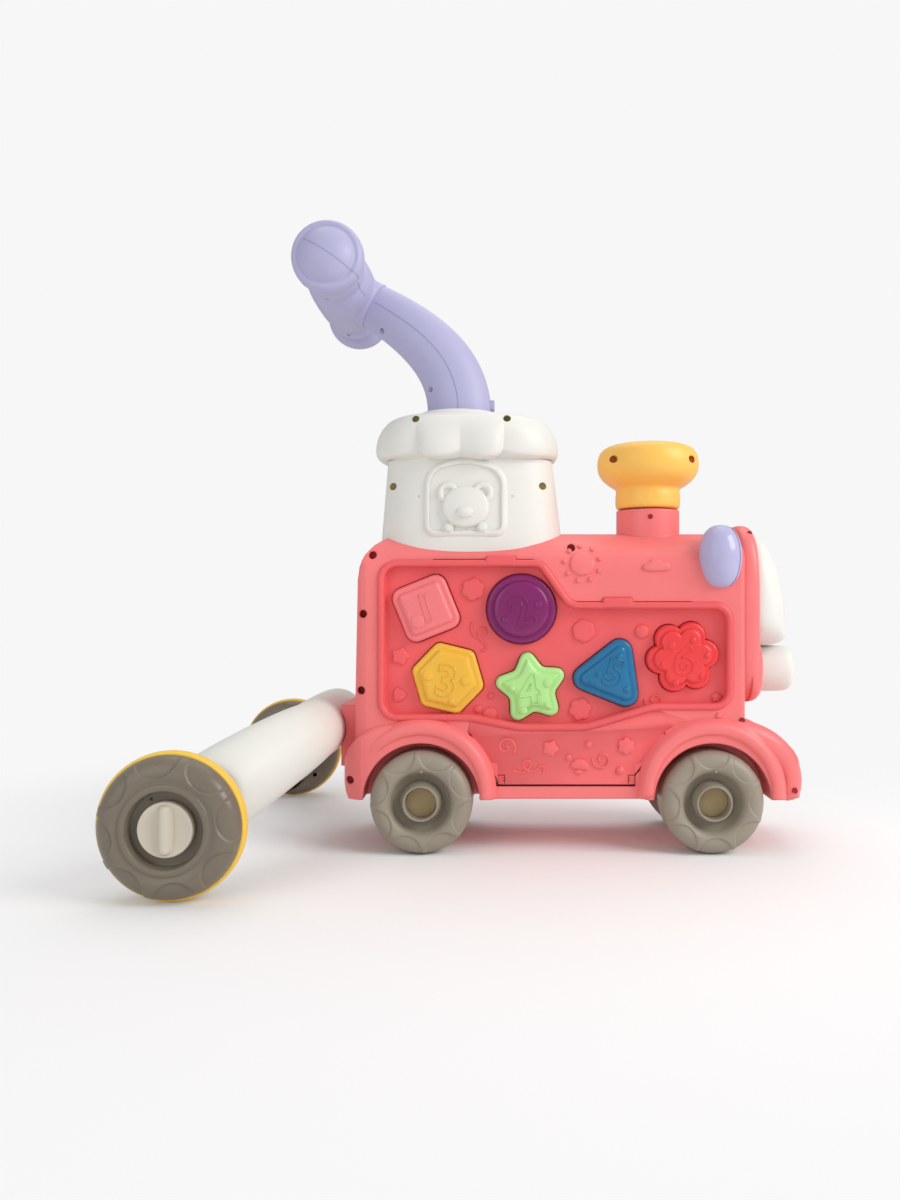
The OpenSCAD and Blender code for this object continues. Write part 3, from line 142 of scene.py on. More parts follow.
def moulded(name, code, rough=0.36, drift=0.05, edge=0.0, grain=0.12):
    """Moulded plastic: colour that drifts a little, uneven gloss and the fine grain of the tool."""
    finish = bpy.data.materials.new(name)
    finish.use_nodes = True
    tree = finish.node_tree
    skin = tree.nodes["Principled BSDF"]
    skin.inputs["IOR"].default_value = 1.47
    skin.inputs["Specular IOR Level"].default_value = 0.42
    place = add_node(tree, "TexCoord")

    def cloud(scale, detail):
        noise = add_node(tree, "TexNoise", Scale=scale, Detail=detail)
        tree.links.new(place.outputs["Object"], noise.inputs["Vector"])
        return noise.outputs["Fac"]

    base = shade(code)
    ramp = add_node(tree, "ValToRGB")
    dark, light = ramp.color_ramp.elements
    dark.position = 0.3
    light.position = 0.7
    dark.color = [c * (1 - drift) for c in base] + [1.0]
    light.color = [min(1.0, c * (1 + drift)) for c in base] + [1.0]
    tree.links.new(cloud(14.0, 3.0), ramp.inputs["Fac"])
    tree.links.new(ramp.outputs["Color"], skin.inputs["Base Color"])
    gloss = add_node(tree, "MapRange", From_Min=0.3, From_Max=0.7, To_Min=rough - 0.04, To_Max=rough + 0.06)
    tree.links.new(cloud(45.0, 4.0), gloss.inputs["Value"])
    tree.links.new(gloss.outputs["Result"], skin.inputs["Roughness"])
    bump = add_node(tree, "Bump", Strength=grain, Distance=0.0002)
    tree.links.new(cloud(1400.0, 2.0), bump.inputs["Height"])
    if edge:
        soft = add_node(tree, "Bevel", Radius=edge)
        soft.samples = 6
        tree.links.new(soft.outputs["Normal"], bump.inputs["Normal"])
    tree.links.new(bump.outputs["Normal"], skin.inputs["Normal"])
    return finish


def dress(finish, *nodes):
    """Gives CAD nodes a finish."""
    for node in nodes:
        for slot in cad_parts[node].material_slots:
            slot.material = finish


coral = moulded("coral_casing", "f27a7a", edge=0.0022)
dress(coral, "body_shell_right", "body_shell_left", "chimney_post", "block_tray")
coral_panel = moulded("coral_panel", "eb5f62", edge=0.0012)
dress(coral_panel, "sorter_panel", "side_panel")
hatch_coral = moulded("coral_hatch", "ee6b6d", edge=0.0008)
dress(hatch_coral, "hatch_flap")
steel = moulded("screw_steel", "8d8778", rough=0.45, edge=0.0003)
dress(steel, "body_screws", "cab_screws", "roof_screws", "hatch_rod", "chimney_screws", "handle_screws",
      "latch_spring", "spindle_right", "spindle_left", "front_axle", "rear_axle")


# Panel reliefs: low raised shapes and lines, moulded in one with the panel's floor, the hatch and the
# casing's flank, in the coral plastic of the wall that each stands on.
crease = math.radians(42)


def solid_mesh(name, shape):
    """Mesh of a shape, which is its points in millimetres and its faces."""
    points, faces = shape
    mesh = bpy.data.meshes.new(name)
    mesh.from_pydata((np.asarray(points, float) * 0.001).tolist(), [], faces)
    work = bmesh.new()
    work.from_mesh(mesh)
    bmesh.ops.remove_doubles(work, verts=work.verts, dist=1e-7)
    bmesh.ops.recalc_face_normals(work, faces=work.faces)
    work.to_mesh(mesh)
    work.free()
    return mesh


def mounted(name, mesh, body, finish):
    """Smooth object of a mesh, in one finish, that rides on a body."""
    mesh.polygons.foreach_set("use_smooth", [True] * len(mesh.polygons))
    mesh.materials.clear()
    mesh.materials.append(finish)
    made = bpy.data.objects.new(name, mesh)
    scene.collection.objects.link(made)
    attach(made, body)
    return made


def make_piece(name, shape, body, finish, stands_for=()):
    """Piece from a shape, which may be shown for CAD nodes."""
    made = mounted(name, solid_mesh(name, shape), body, finish)
    made.data.set_sharp_from_angle(angle=crease)
    if stands_for:
        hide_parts(*stands_for)
    return made


def loft(rings, start=True, end=True):
    """Skin through rings of points, closed at the ends that are asked for."""
    rings = np.asarray(rings, float)
    m, n = rings.shape[:2]
    k, i = np.meshgrid(np.arange(m - 1), np.arange(n), indexing="ij")
    j = (i + 1) % n
    corners = [k * n + i, k * n + j, (k + 1) * n + j, (k + 1) * n + i]
    faces = np.stack(corners, -1).reshape(-1, 4).tolist()
    if start:
        faces.append(list(range(n))[::-1])
    if end:
        faces.append([(m - 1) * n + i for i in range(n)])
    return rings.reshape(-1, 3), faces


def joined(shapes):
    """Several shapes as one."""
    points, faces, count = [], [], 0
    for p, f in shapes:
        points.append(np.asarray(p, float))
        faces += [[i + count for i in face] for face in f]
        count += len(p)
    return np.concatenate(points), faces


def soften(points, rounds=2, closed=False):
    """Corner cutting that turns a few points into a smooth line."""
    points = np.asarray(points, float)
    for _ in range(rounds):
        here = points if closed else points[:-1]
        after = np.roll(points, -1, 0) if closed else points[1:]
        cut = np.stack([0.75 * here + 0.25 * after, 0.25 * here + 0.75 * after], 1)
        cut = cut.reshape(-1, points.shape[1])
        points = cut if closed else np.concatenate([points[:1], cut[1:-1], points[-1:]])
    return points


def angles(n):
    """Even steps round a full turn."""
    return np.linspace(0, 2 * math.pi, n, endpoint=False)


def polar(reach, a):
    """Points in a plane from their reach and angle."""
    return np.stack([reach * np.cos(a), reach * np.sin(a)], 1)


def stood(line, y):
    """Points in X and Z, stood in the plane at one Y."""
    return np.insert(line, 1, y, axis=1)


def pipe(line, r, sides=8):
    """Tube of one radius along a line, with domed ends."""
    line = np.asarray(line, float)
    way = np.gradient(line, axis=0)
    way /= np.linalg.norm(way, axis=1)[:, None]
    up = np.array([0.0, 1.0, 0.0])
    a = angles(sides)[:, None]
    rings = []
    for p, w in zip(line, way):
        side = np.cross(w, up)
        side /= max(np.linalg.norm(side), 1e-9)
        over = np.cross(side, w)
        rings.append(p + r * (np.cos(a) * side + np.sin(a) * over))
    ends = []
    for p, w, ring in ((line[0], -way[0], rings[0]), (line[-1], way[-1], rings[-1])):
        ends.append([p + (ring - p) * math.cos(t) + w * r * math.sin(t) for t in (0.5, 1.0, 1.45)])
    return loft(ends[0][::-1] + rings + ends[1])


def bossed(outline, rise, place, crown=0.0, wall=None):
    """Low raised shape: an outline in X and Z stood off a wall at place, with a rounded edge."""
    outline = np.asarray(outline, float)
    middle = outline.mean(0)
    size = np.abs(outline - middle).max()
    steps = [(0.0, -0.6), (0.0, 0.35 * rise), (0.12 * rise, 0.7 * rise), (0.45 * rise, 0.94 * rise),
             (0.9 * rise, rise), (0.5 * size, rise + 0.75 * crown), (0.8 * size, rise + 0.96 * crown)]
    x, y, z = place
    rings = []
    for inset, out in steps:
        flat = middle + (outline - middle) * max(0.02, 1 - inset / size)
        back = np.full(len(flat), y) if wall is None else np.array([wall(x + u, z + v) for u, v in flat])
        rings.append(np.stack([x + flat[:, 0], back - out, z + flat[:, 1]], 1))
    return loft(rings)


def disc(r, n=40):
    """Round outline."""
    return polar(r, angles(n))


def blossom(r, petals, depth=0.16, turn=0.0, n=120):
    """Outline with round petals and sharp creases between them."""
    a = angles(n)
    return polar(r * (1 - depth + depth * np.abs(np.cos(petals * (a - math.radians(turn)) / 2))), a)


def spikes(r, points, inner, turn):
    """Corners of a star, the inner ones at a share of its reach."""
    k = np.arange(2 * points)
    return polar(np.where(k % 2 == 0, r, inner * r), np.radians(turn) + k * math.pi / points)


def spokes(r, points, inner, turn):
    """Star with softened corners."""
    return soften(spikes(r, points, inner, turn), 3, True)


def curl(x, z, r, turns, end, y, n=48):
    """Spiral whose outer end lies at a given angle."""
    t = np.linspace(0.12, 1, n)
    return stood(polar(r * t, math.radians(end) + (1 - t) * turns * 2 * math.pi) + (x, z), y)


def wiggle(points, y):
    """Smooth line through a few points."""
    return stood(soften(points, 3), y)


floor_y = -42.0
floor_line_y = floor_y - 0.3
floor_line_r = 0.9
leaf = soften([[-3.6, 7.6], [-4.2, -6.6], [7.8, 0.2]], 2, True) * 1.15
ribbon = [[-11.5, 168.6], [-12.2, 162.2], [-9.0, 157.7], [-4.4, 157.2], [-0.5, 160.8], [-2.5, 164.8],
          [-6.2, 163.6], [-7.1, 159.4], [-4.4, 154.4], [-0.5, 152.3], [-0.8, 148.7], [-4.4, 147.3]]
panel_shapes = [(blossom(8.8, 6, 0.17, 20), 1.9, -10.8, 193.1, 0.4),
                (spokes(8.2, 5, 0.6, 0), 1.7, -64.7, 143.5, 0.4),
                (leaf, 1.7, -65.4, 114.4, 0.4),
                (disc(2.4), 1.3, 2.3, 114.0, 0.6),
                (disc(3.1), 1.4, -7.1, 104.3, 0.6),
                (disc(5.4), 1.6, 2.0, 100.5, 0.7),
                (spokes(9.2, 6, 0.9, 38), 1.9, 71.2, 162.3, 0.4),
                (disc(5.2), 1.7, 114.3, 161.9, 0.7),
                (blossom(8.8, 6, 0.2, 12), 1.9, 68.5, 104.1, 0.4),
                (spokes(5.2, 5, 0.58, 86), 1.5, 169.6, 113.0, 0.4)]
make_piece("panel_reliefs", joined(
    [bossed(line, rise, (x, floor_y, z), crown) for line, rise, x, z, crown in panel_shapes]
    + [pipe(curl(123.6, 110.7, 7.3, 1.5, 180, floor_line_y), floor_line_r),
       pipe(wiggle(ribbon, floor_line_y), floor_line_r)]), "train", coral_panel)

hatch_y = -48.25
hatch_line_y = hatch_y - 0.2
hatch_line_r = 0.85
cap_line = soften([[-7, -0.6], [-6.4, 3.4], [-2, 6.4], [3, 6], [7, 2], [7.4, -2.6], [3, -1.6]], 3, True)
foot_line = soften([[-3.6, -0.6], [2.6, -0.6], [2.2, -4.6], [-3.2, -4.3]], 2, True)
loops = [[19.0, 60.1], [23.2, 57.9], [28.1, 59.1], [32.3, 63.3], [30.9, 67.4], [26.7, 66.6],
         [26.3, 61.9], [31.6, 58.4], [36.6, 60.5], [38.7, 63.3], [42.2, 62.6], [40.8, 58.4]]
hatch_lines = [curl(13.4, 77.2, 7.6, 1.4, -36, hatch_line_y), curl(84.2, 68.0, 7.2, 1.5, 180, hatch_line_y),
               wiggle(loops, hatch_line_y)]
hatch_shapes = [(spokes(7.2, 5, 0.62, 66), 1.6, 46.2, 76.0, 0.4),
                (blossom(6.4, 6, 0.2, 90), 1.6, 101.9, 77.8, 0.4),
                (disc(2.6), 1.2, 74.0, 78.7, 0.6),
                (disc(2.4), 1.2, 59.4, 69.2, 0.6),
                (disc(3.0), 1.3, 97.6, 59.8, 0.6),
                (cap_line, 1.5, 67.7, 62.2, 0.5),
                (foot_line, 1.1, 67.4, 61.6, 0.3)]
make_piece("hatch_reliefs", joined(
    [pipe(line, hatch_line_r) for line in hatch_lines]
    + [bossed(line, rise, (x, hatch_y, z), crown) for line, rise, x, z, crown in hatch_shapes]),
    "hatch", hatch_coral)


crown_z, crown_rise, flank_out = 207.0, 30.0, 48.0


def flank(x, z):
    """Place of the casing's right flank, upright below and round towards the crown."""
    rise = min(1.0, max(0.0, (z - crown_z) / crown_rise))
    return -flank_out * math.sqrt(1 - rise * rise)


sun_x, sun_z, ray_reach, rays = 69.8, 212.2, 13.2, 9
flank_shapes = [(disc(9.0), 1.5, sun_x, sun_z, 0.8)]
for a in np.radians(360 / rays * np.arange(rays) + 15):
    ray_x, ray_z = sun_x + ray_reach * math.cos(a), sun_z + ray_reach * math.sin(a)
    flank_shapes.append((disc(1.9, 20), 1.1, ray_x, ray_z, 0.5))
cloud_line = soften([[-10, -3], [-10.5, 2], [-5, 3], [-4, 6], [2, 6.5], [4, 3.5], [9, 4], [10.5, 0], [9, -3]],
                    3, True)
flank_shapes += [(cloud_line, 1.5, 124.4, 209.3, 0.5), (disc(2.4), 1.2, 169.8, 100.0, 0.5)]
make_piece("flank_reliefs", joined([bossed(line, rise, (x, 0, z), crown, flank)
                                    for line, rise, x, z, crown in flank_shapes]), "train", coral)


# Arches and bumper: the rounded edges over the train wheels and the bulge ahead of the front one, moulded
# in coral plastic with the casing. Dark red discs deep in the wells of the casing's screws are painted shade.
front_x, rear_x = 164.7, -48.3
arch_z = 43.5
arch_profile = soften([[42.5, 46.0], [42.5, 51.0], [42.7, 53.4], [44.0, 55.2], [46.6, 56.1], [49.4, 55.7],
                       [51.8, 54.2], [53.4, 51.4], [54.4, 49.4], [55.0, 48.2], [55.3, 47.2]], 2)


def arch_form(x, side, first, last, fade, foot=47.0, least=0.55):
    """Rounded arch about a wheel's axle that sinks into the casing towards its last end."""
    r, out = arch_profile.T
    rings = []
    for a in np.linspace(first, last, 70):
        past = max(0.0, min(1.0, (a - fade) / max(1.0, last - fade)))
        share = least + (1 - least) * (1 - past ** 2)
        t = math.radians(a)
        y = side * (foot + (out - foot) * share)
        rings.append(np.stack([x + r * math.cos(t), y, arch_z + r * math.sin(t)], 1))
    return loft(rings)


def bumper_form(side, x=174.0, z=50.6, ahead=50.2, tall=38.0, out=43.4, tuck=6.0, r=9.7):
    """Bulge that follows the casing's sloping end ahead of the front wheel."""
    a = np.radians(np.concatenate([np.linspace(80, 0, 24), [-8]]))
    y = side * (out - tuck * np.cos(a) ** 4)
    return pipe(np.stack([x + ahead * np.cos(a), y, z + tall * np.sin(a)], 1), r, 24)


arches = []
for side in (-1, 1):
    arches += [arch_form(rear_x, side, -4.5, 152, 96), arch_form(front_x, side, -4.5, 184.5, 180),
               bumper_form(side)]
make_piece("casing_arches", joined(arches), "train", coral)


def plug(x, z, out, r, deep=6.0):
    """Short round plug that closes a screw's well, its face at a distance from the middle plane."""
    return loft([stood(disc(r, 24) + (x, z), -y) for y in (out - deep, out)])


# Painted shade: the dark red of the well floors stands for the shadow deep in the coral screw wells.
painted_well_shade_red = moulded("painted_well_shade_red", "8e1f26", 0.6)
casing_wells = [(-84.9, 218.3, 39.0, 2.9), (-91.6, 174.9, 39.0, 2.9), (-93.0, 118.5, 39.0, 2.9),
                (-100.9, 52.9, 43.0, 2.9), (62.1, 224.0, 34.5, 2.9), (187.0, 96.6, 48.5, 2.2),
                (226.0, 45.0, 47.8, 2.1)]
make_piece("casing_well_floors", joined([plug(*well) for well in casing_wells]), "train", painted_well_shade_red)


# Panel bead: the rounded rim of the sorter panel, moulded in one with it in coral plastic, and the two snap
# tabs that hold the panel in the casing, with dark strips of painted shade in the gaps beside them.
def cornered(corners, inset, radius, steps=7):
    """Outline with rounded corners, drawn in by inset."""
    corners = np.asarray(corners, float)
    n = len(corners)
    moved = []
    for i in range(n):
        a, b, c = corners[i - 1], corners[i], corners[(i + 1) % n]
        u = np.array([b[1] - a[1], a[0] - b[0]]) / np.linalg.norm(b - a)
        v = np.array([c[1] - b[1], b[0] - c[0]]) / np.linalg.norm(c - b)
        moved.append(b - inset * (u + v) / (1 + u @ v))
    line = []
    for i in range(n):
        a, b, c = moved[i - 1], moved[i], moved[(i + 1) % n]
        before, after = corners[i - 1], corners[(i + 1) % n]
        bend = np.cross(corners[i] - before, after - corners[i])
        own = radius[i] if isinstance(radius, list) else radius
        r = max(0.6, own - inset) if bend > 0 else own + inset
        u, v = (a - b) / np.linalg.norm(a - b), (c - b) / np.linalg.norm(c - b)
        half = math.acos(max(-1.0, min(1.0, u @ v))) / 2
        r = min(r, 0.48 * min(np.linalg.norm(a - b), np.linalg.norm(c - b)) * math.tan(half))
        o = b + (u + v) / np.linalg.norm(u + v) * r / math.sin(half)
        s, e = b + u * r / math.tan(half) - o, b + v * r / math.tan(half) - o
        start = math.atan2(s[1], s[0])
        sweep = (math.atan2(e[1], e[0]) - start + math.pi) % (2 * math.pi) - math.pi
        for k in range(steps + 1):
            t = start + sweep * k / steps
            line.append(o + r * np.array([math.cos(t), math.sin(t)]))
    return np.array(line)


panel_corners = [[-80.0, 96.9], [-12.4, 96.9], [22.7, 90.0], [72.4, 90.0], [122.3, 104.9], [180.0, 104.9],
                 [180.0, 183.0], [61.7, 183.0], [40.1, 214.0], [-80.0, 214.0]]
panel_radii = [13.6, 29.8, 29.8, 29.8, 29.8, 13.6, 13.6, 11.2, 11.2, 13.6]
bead_profile = [(-0.7, 47.6), (-0.7, 48.6), (-0.4, 49.4), (0.2, 50.0), (1.1, 50.4), (2.0, 50.5),
                (2.9, 50.3), (3.7, 49.7), (4.2, 48.8), (4.4, 47.0), (4.5, 42.6), (5.2, 41.95)]
bead = [stood(cornered(panel_corners, inset, panel_radii, 12), -out) for inset, out in bead_profile]
make_piece("panel_bead", loft(bead, False, False), "train", coral_panel)
# Painted shade: the dark red strips stand for the shadow in the gaps between mouldings.
painted_gap_shade_red = moulded("painted_gap_shade_red", "7c1517", 0.6)


def box_line(x0, x1, z0, z1):
    """Corners of an upright box."""
    return [[x0, z0], [x1, z0], [x1, z1], [x0, z1]]


def gap(x0, x1, z0, z1, out, deep=1.0):
    """Thin strip that fills a gap between two mouldings; its dark finish is painted shade."""
    line = cornered(box_line(x0, x1, z0, z1), 0.0, 0.45 * min(x1 - x0, z1 - z0), 4)
    return loft([stood(line, deep - out), stood(line, -out)])


def clip_tab(x0, x1, z0, z1):
    """Snap tab with a softly rounded face."""
    profile = ((0.0, 47.5), (0.0, 49.6), (0.25, 50.2), (0.9, 50.55), (2.0, 50.6))
    return loft([stood(cornered(box_line(x0, x1, z0, z1), inset, 2.2, 6), -out) for inset, out in profile])


make_piece("panel_tabs", joined([clip_tab(-1.2, 20.6, 210.5, 217.8), clip_tab(84.6, 106.4, 179.5, 186.8)]),
           "train", coral_panel)
make_piece("panel_gaps", joined([gap(-40.0, -2.2, 214.6, 215.3, 48.3), gap(64.0, 84.0, 183.6, 184.2, 48.2),
                                 gap(107.6, 150.0, 183.6, 184.2, 48.2), gap(21.4, 34.0, 214.6, 215.2, 48.3)]),
           "train", painted_gap_shade_red)


# Hatch: a coral flap that fills the space under the panel between the two arches. It turns on a steel pin
# along its lower edge; the notches at its corners for the pin's lugs are drawn as dark strips of painted
# shade.
def arc(x, r, first, last, n=16):
    """Points on a circle about a train wheel's arch."""
    return polar(r, np.radians(np.linspace(first, last, n))) + (x, arch_z)


hatch_x0, hatch_x1, hatch_z0, hatch_z1 = 7.8, 108.2, 49.6, 64.6
hatch_arch_r = 56.1
under = [p for p in cornered(panel_corners, -1.2, panel_radii, 12) if -13.0 < p[0] < 150.0 and p[1] < 106.0]
under = np.array(sorted(under, key=lambda p: -p[0]))
hatch_line = np.concatenate([[[hatch_x0, hatch_z0], [hatch_x1, hatch_z0], [hatch_x1, hatch_z1]],
                             arc(front_x, hatch_arch_r, 156, 108), under,
                             arc(rear_x, hatch_arch_r, 53, 24), [[hatch_x0, hatch_z1]]])
hatch_middle = np.array([57.0, 74.0])
skin_rings = [stood(hatch_line, -48.03), stood(hatch_line, -48.18)]
skin_rings.append(stood(hatch_middle + (hatch_line - hatch_middle) * 0.997, hatch_y))
make_piece("hatch_skin", loft(skin_rings), "hatch", hatch_coral)
# Painted shade: the hinge notches are dark strips on the hatch's face, standing for the shadow in them.
notches = []
for x, way in ((13.0, -1), (103.2, 1)):
    for wide, z0, z1 in ((5.4, 56.2, 56.8), (0.6, 50.2, 56.8), (1.9, 54.2, 54.7), (1.9, 52.2, 52.7)):
        notches.append(gap(*sorted((x, x + way * wide)), z0, z1, 48.3))
make_piece("hinge_notches", joined(notches), "hatch", painted_gap_shade_red)


# Blocks: hollow two-part mouldings, one colour each, that drop through the matching hole. Each has a rounded
# shoulder, a groove, a slightly domed face, and its number and pips raised on that face.
block_face = 50.3
block_profile = [(2.4, 28.5), (1.0, 28.5), (0.3, 28.9), (0.0, 29.8), (0.0, 44.6), (0.15, 45.7),
                 (0.6, 46.7), (1.3, 47.4), (2.3, 47.75), (3.3, 47.7), (4.1, 47.45), (4.6, 47.5),
                 (4.95, 48.0), (5.35, 48.8), (5.9, 49.4), (6.7, 49.85), (7.8, 50.15), (9.2, block_face)]


def ngon(n, r, turn):
    """Corners of an even polygon."""
    return polar(r, np.radians(turn) + np.arange(n) * 2 * math.pi / n)


def flower_line(inset):
    """Outline of the six-lobed block."""
    a = np.radians(np.arange(0, 360, 1.5))
    lobe = np.abs(np.cos(3 * (a - math.radians(7)))) ** 0.75
    return polar(27.0 * (1 - 0.24 * (1 - lobe)) - inset * (0.86 + 0.14 * lobe), a)


def block_form(line, place):
    """Block from its outline, which is asked for at each inset."""
    x, z = place
    rings = [stood(line(inset) + (x, z), -out) for inset, out in block_profile]
    last = rings[-1]
    middle = np.array([x, -block_face, z])
    for share, out in ((0.6, 50.42), (0.3, 50.48)):
        ring = middle + (last - middle) * share
        ring[:, 1] = -out
        rings.append(ring)
    return loft(rings)


def numeral(text, name, x, z, tall, body, finish, lean):
    """Number drawn as a raised outline on a block's face."""
    glyph = bpy.data.curves.new(name + "_line", "FONT")
    glyph.body = text
    font_per_digit = 1.43
    glyph.size = font_per_digit * tall * 0.001
    glyph.align_x = "CENTER"
    glyph.align_y = "CENTER"
    glyph.fill_mode = "NONE"
    glyph.offset = 0.00075
    glyph.bevel_depth = 0.00055
    glyph.bevel_resolution = 2
    sketch = bpy.data.objects.new(name + "_sketch", glyph)
    scene.collection.objects.link(sketch)
    sketch.rotation_euler = (math.pi / 2, math.radians(lean), 0.0)
    sketch.location = (x * 0.001, -0.0505, z * 0.001)
    bpy.context.view_layer.update()
    mesh = bpy.data.meshes.new_from_object(sketch.evaluated_get(bpy.context.evaluated_depsgraph_get()))
    mesh.transform(sketch.matrix_world)
    bpy.data.objects.remove(sketch)
    mounted(name, mesh, body, finish)


def block(shape, number, line, place, finish, numeral_at, tall, lean, pips):
    """One block with its number and pips, which are placed from its middle."""
    name = "block_" + shape
    x, z = place
    make_piece(name + "_form", block_form(line, place), name, finish, [name])
    numeral(number, name + "_numeral", x + numeral_at[0], z + numeral_at[1], tall, name, finish, lean)
    make_piece(name + "_pips", joined([bossed(disc(r, 28), 0.8, (x + u, -50.25, z + v), 0.5)
                                       for u, v, r in pips]), name, finish)


block("square", "1", lambda d: cornered(ngon(4, 29.7, 67), d, 8.1), (-45.4, 179.0),
      moulded("block_light_coral", "f07c7f", 0.24), (0.6, -0.9), 19.5, -17,
      [(-5.4, -9.8, 4.8)])
block("circle", "2", lambda d: disc(25.65 - d, 96), (25.0, 178.5),
      moulded("block_purple", "7f2263", 0.22), (0.7, -2.8), 22, -21,
      [(12.6, 3.1, 2.8), (-12.0, -8.0, 2.5)])
block("hexagon", "3", lambda d: cornered(ngon(6, 27.8, 46), d, 5.94), (-29.3, 127.4),
      moulded("block_mustard", "ecb63f", 0.24), (-0.8, -2.5), 22, 8,
      [(-14.1, 2.5, 3.9), (13.0, -1.7, 3.4), (3.0, -16.5, 2.4)])
block("star", "4", lambda d: cornered(spikes(32.4, 5, 0.54, 98), d, 5.94, 6), (32.3, 120.3),
      moulded("block_green", "b2e490", 0.24), (-1.0, -2.3), 21, -8,
      [(11.9, 4.0, 3.1), (-14.0, -0.2, 2.1), (-5.6, -16.0, 2.8), (11.2, -12.3, 1.7)])
block("triangle", "5", lambda d: cornered(ngon(3, 36.7, 68), d, 9.18), (90.8, 130.1),
      moulded("block_blue", "21719f", 0.24), (1.6, 0.8), 19, 17,
      [(6.4, 13.4, 2.3), (-9.4, 0.5, 1.9), (-15.0, -5.6, 1.6), (11.3, -10.7, 2.3)])
block("flower", "6", flower_line, (143.9, 143.2),
      moulded("block_red", "ea4143", 0.24), (0.4, -3.5), 20.5, 8,
      [(-8.7, 8.1, 2.9), (6.9, 12.4, 2.4), (17.2, 1.2, 2.2), (12.9, -14.3, 1.9), (-5.6, -18.7, 2.4),
       (-15.6, -5.4, 1.7)])


# Train wheels: one-piece taupe mouldings with a domed tyre face, eight shallow petals and an open hub,
# running on steel axles that end in pressed caps.
wheel_r = 37.5
taupe = moulded("wheel_taupe", "988f80", 0.42)
# Painted shade: the tan of the axle caps and of the cup in each hub stands for the taupe plastic in shadow
# deep in the bore.
tan = moulded("cap_painted_shade_tan", "a08d66", 0.5, edge=0.0006)
dress(tan, "axle_caps")


def turned(profile, middle, axis="y", n=96, shift=None, ends=True):
    """Shape turned about an axis from a profile of radius and distance along it."""
    a = angles(n)
    rings = []
    for r, h in profile:
        along = np.full(n, h)
        if shift is not None:
            along = along + shift(r, a)
        u, v = r * np.cos(a), r * np.sin(a)
        ring = {"x": (along, u, v), "y": (u, along, v), "z": (u, v, along)}[axis]
        rings.append(np.stack(ring, 1) + middle)
    return loft(rings, ends, ends)


def petals(radius, turn, sink, centre, reach):
    """Depth of the eight petals in a tyre's face, each with a fine groove round it."""
    def depth(r, a):
        if r < 0.6 * radius:
            return np.zeros_like(a)
        local = (a - math.radians(turn) + math.pi / 8) % (math.pi / 4) - math.pi / 8
        off = np.hypot(r * np.cos(local) - centre * radius, r * np.sin(local)) - reach * radius
        return sink * np.clip(0.5 - off / 0.7, 0, 1) + 0.3 * np.exp(-(off / 0.5) ** 2)
    return depth


def dense(points, apart):
    """Points along a line, no further apart than a given distance."""
    out = [points[0]]
    for p, q in zip(points[:-1], points[1:]):
        n = max(1, int(math.ceil(np.linalg.norm(q - p) / apart)))
        out += [p + (q - p) * k / n for k in range(1, n + 1)]
    return np.array(out)


tread = soften([[7.2, 32.2], [34.6, 32.2], [wheel_r, 33.2], [wheel_r, 35.5], [wheel_r, 48.0], [wheel_r, 53.0],
                [35.6, 57.0], [32.0, 59.4], [28.5, 59.8], [24.6, 58.6], [22.0, 55.6], [20.2, 50.0],
                [16.4, 46.6]], 3)
hub = soften([[15.4, 46.5], [15.2, 50.0], [13.2, 57.6], [12.9, 59.2], [12.3, 59.5], [11.6, 59.1],
              [11.4, 57.6], [11.3, 50.0], [11.25, 42.0]], 2)
wheel_profile = np.concatenate([dense(tread, 0.5), dense(hub, 1.2), [[7.2, 42.0], [7.2, 32.2]]])
cup_profile = np.array([[11.2, 50.2], [10.6, 48.8], [9.2, 48.2], [0.05, 48.0]])
pin_profile = np.array([[0.05, 60.0], [0.7, 59.9], [1.0, 59.6], [1.05, 58.0]])


def train_wheel(name, x, side, turn):
    """One wheel with the cup in its hub and the small pin mark on its face."""
    lift = petals(wheel_r, turn, 1.1, 1.013, 0.34)
    middle = (x, 0, wheel_r)
    make_piece(name + "_form", turned(wheel_profile * (1, side), middle, "y", 360,
                                      lambda r, a: -side * lift(r, a), False), name, taupe, [name])
    # Painted shade: the tan cup closes the hub in the colour of its shadowed bore.
    make_piece(name + "_cup", turned(cup_profile * (1, side), middle, "y", 48), name, tan)
    make_piece(name + "_pin", turned(pin_profile * (1, side), (x + 0.6, 0, wheel_r + 23.4), "y", 24),
               name, taupe)


for end, x, turn in (("front", front_x, 2), ("rear", rear_x, 27)):
    for label, side in (("right", -1), ("left", 1)):
        train_wheel("wheel_%s_%s" % (end, label), x, side, turn)


# Front end: a coral plate closes the casing, and carries a white smokebox face and a round white nose.
# The lavender side lamps are snapped in behind it.
def rounded(v, power):
    """Sine or cosine swelled towards a box's corners."""
    return np.sign(v) * np.abs(v) ** power


def oblong(x, low, high, half, waist, power, n=96):
    """Upright rounded outline at one X, wider or narrower above and below its waist."""
    t = angles(n)
    c, s = np.cos(t), np.sin(t)
    middle = low + waist * (high - low)
    tall = np.where(s > 0, high - middle, middle - low)
    return np.stack([np.full(n, x), half * rounded(c, 2 / power), middle + tall * rounded(s, 2 / power)], 1)


def upright(steps, waist, power):
    """Shape through upright outlines, each given by X, lowest and highest Z and half width."""
    return loft([oblong(x, low, high, half, waist, power) for x, low, high, half in soften(steps, 1)])


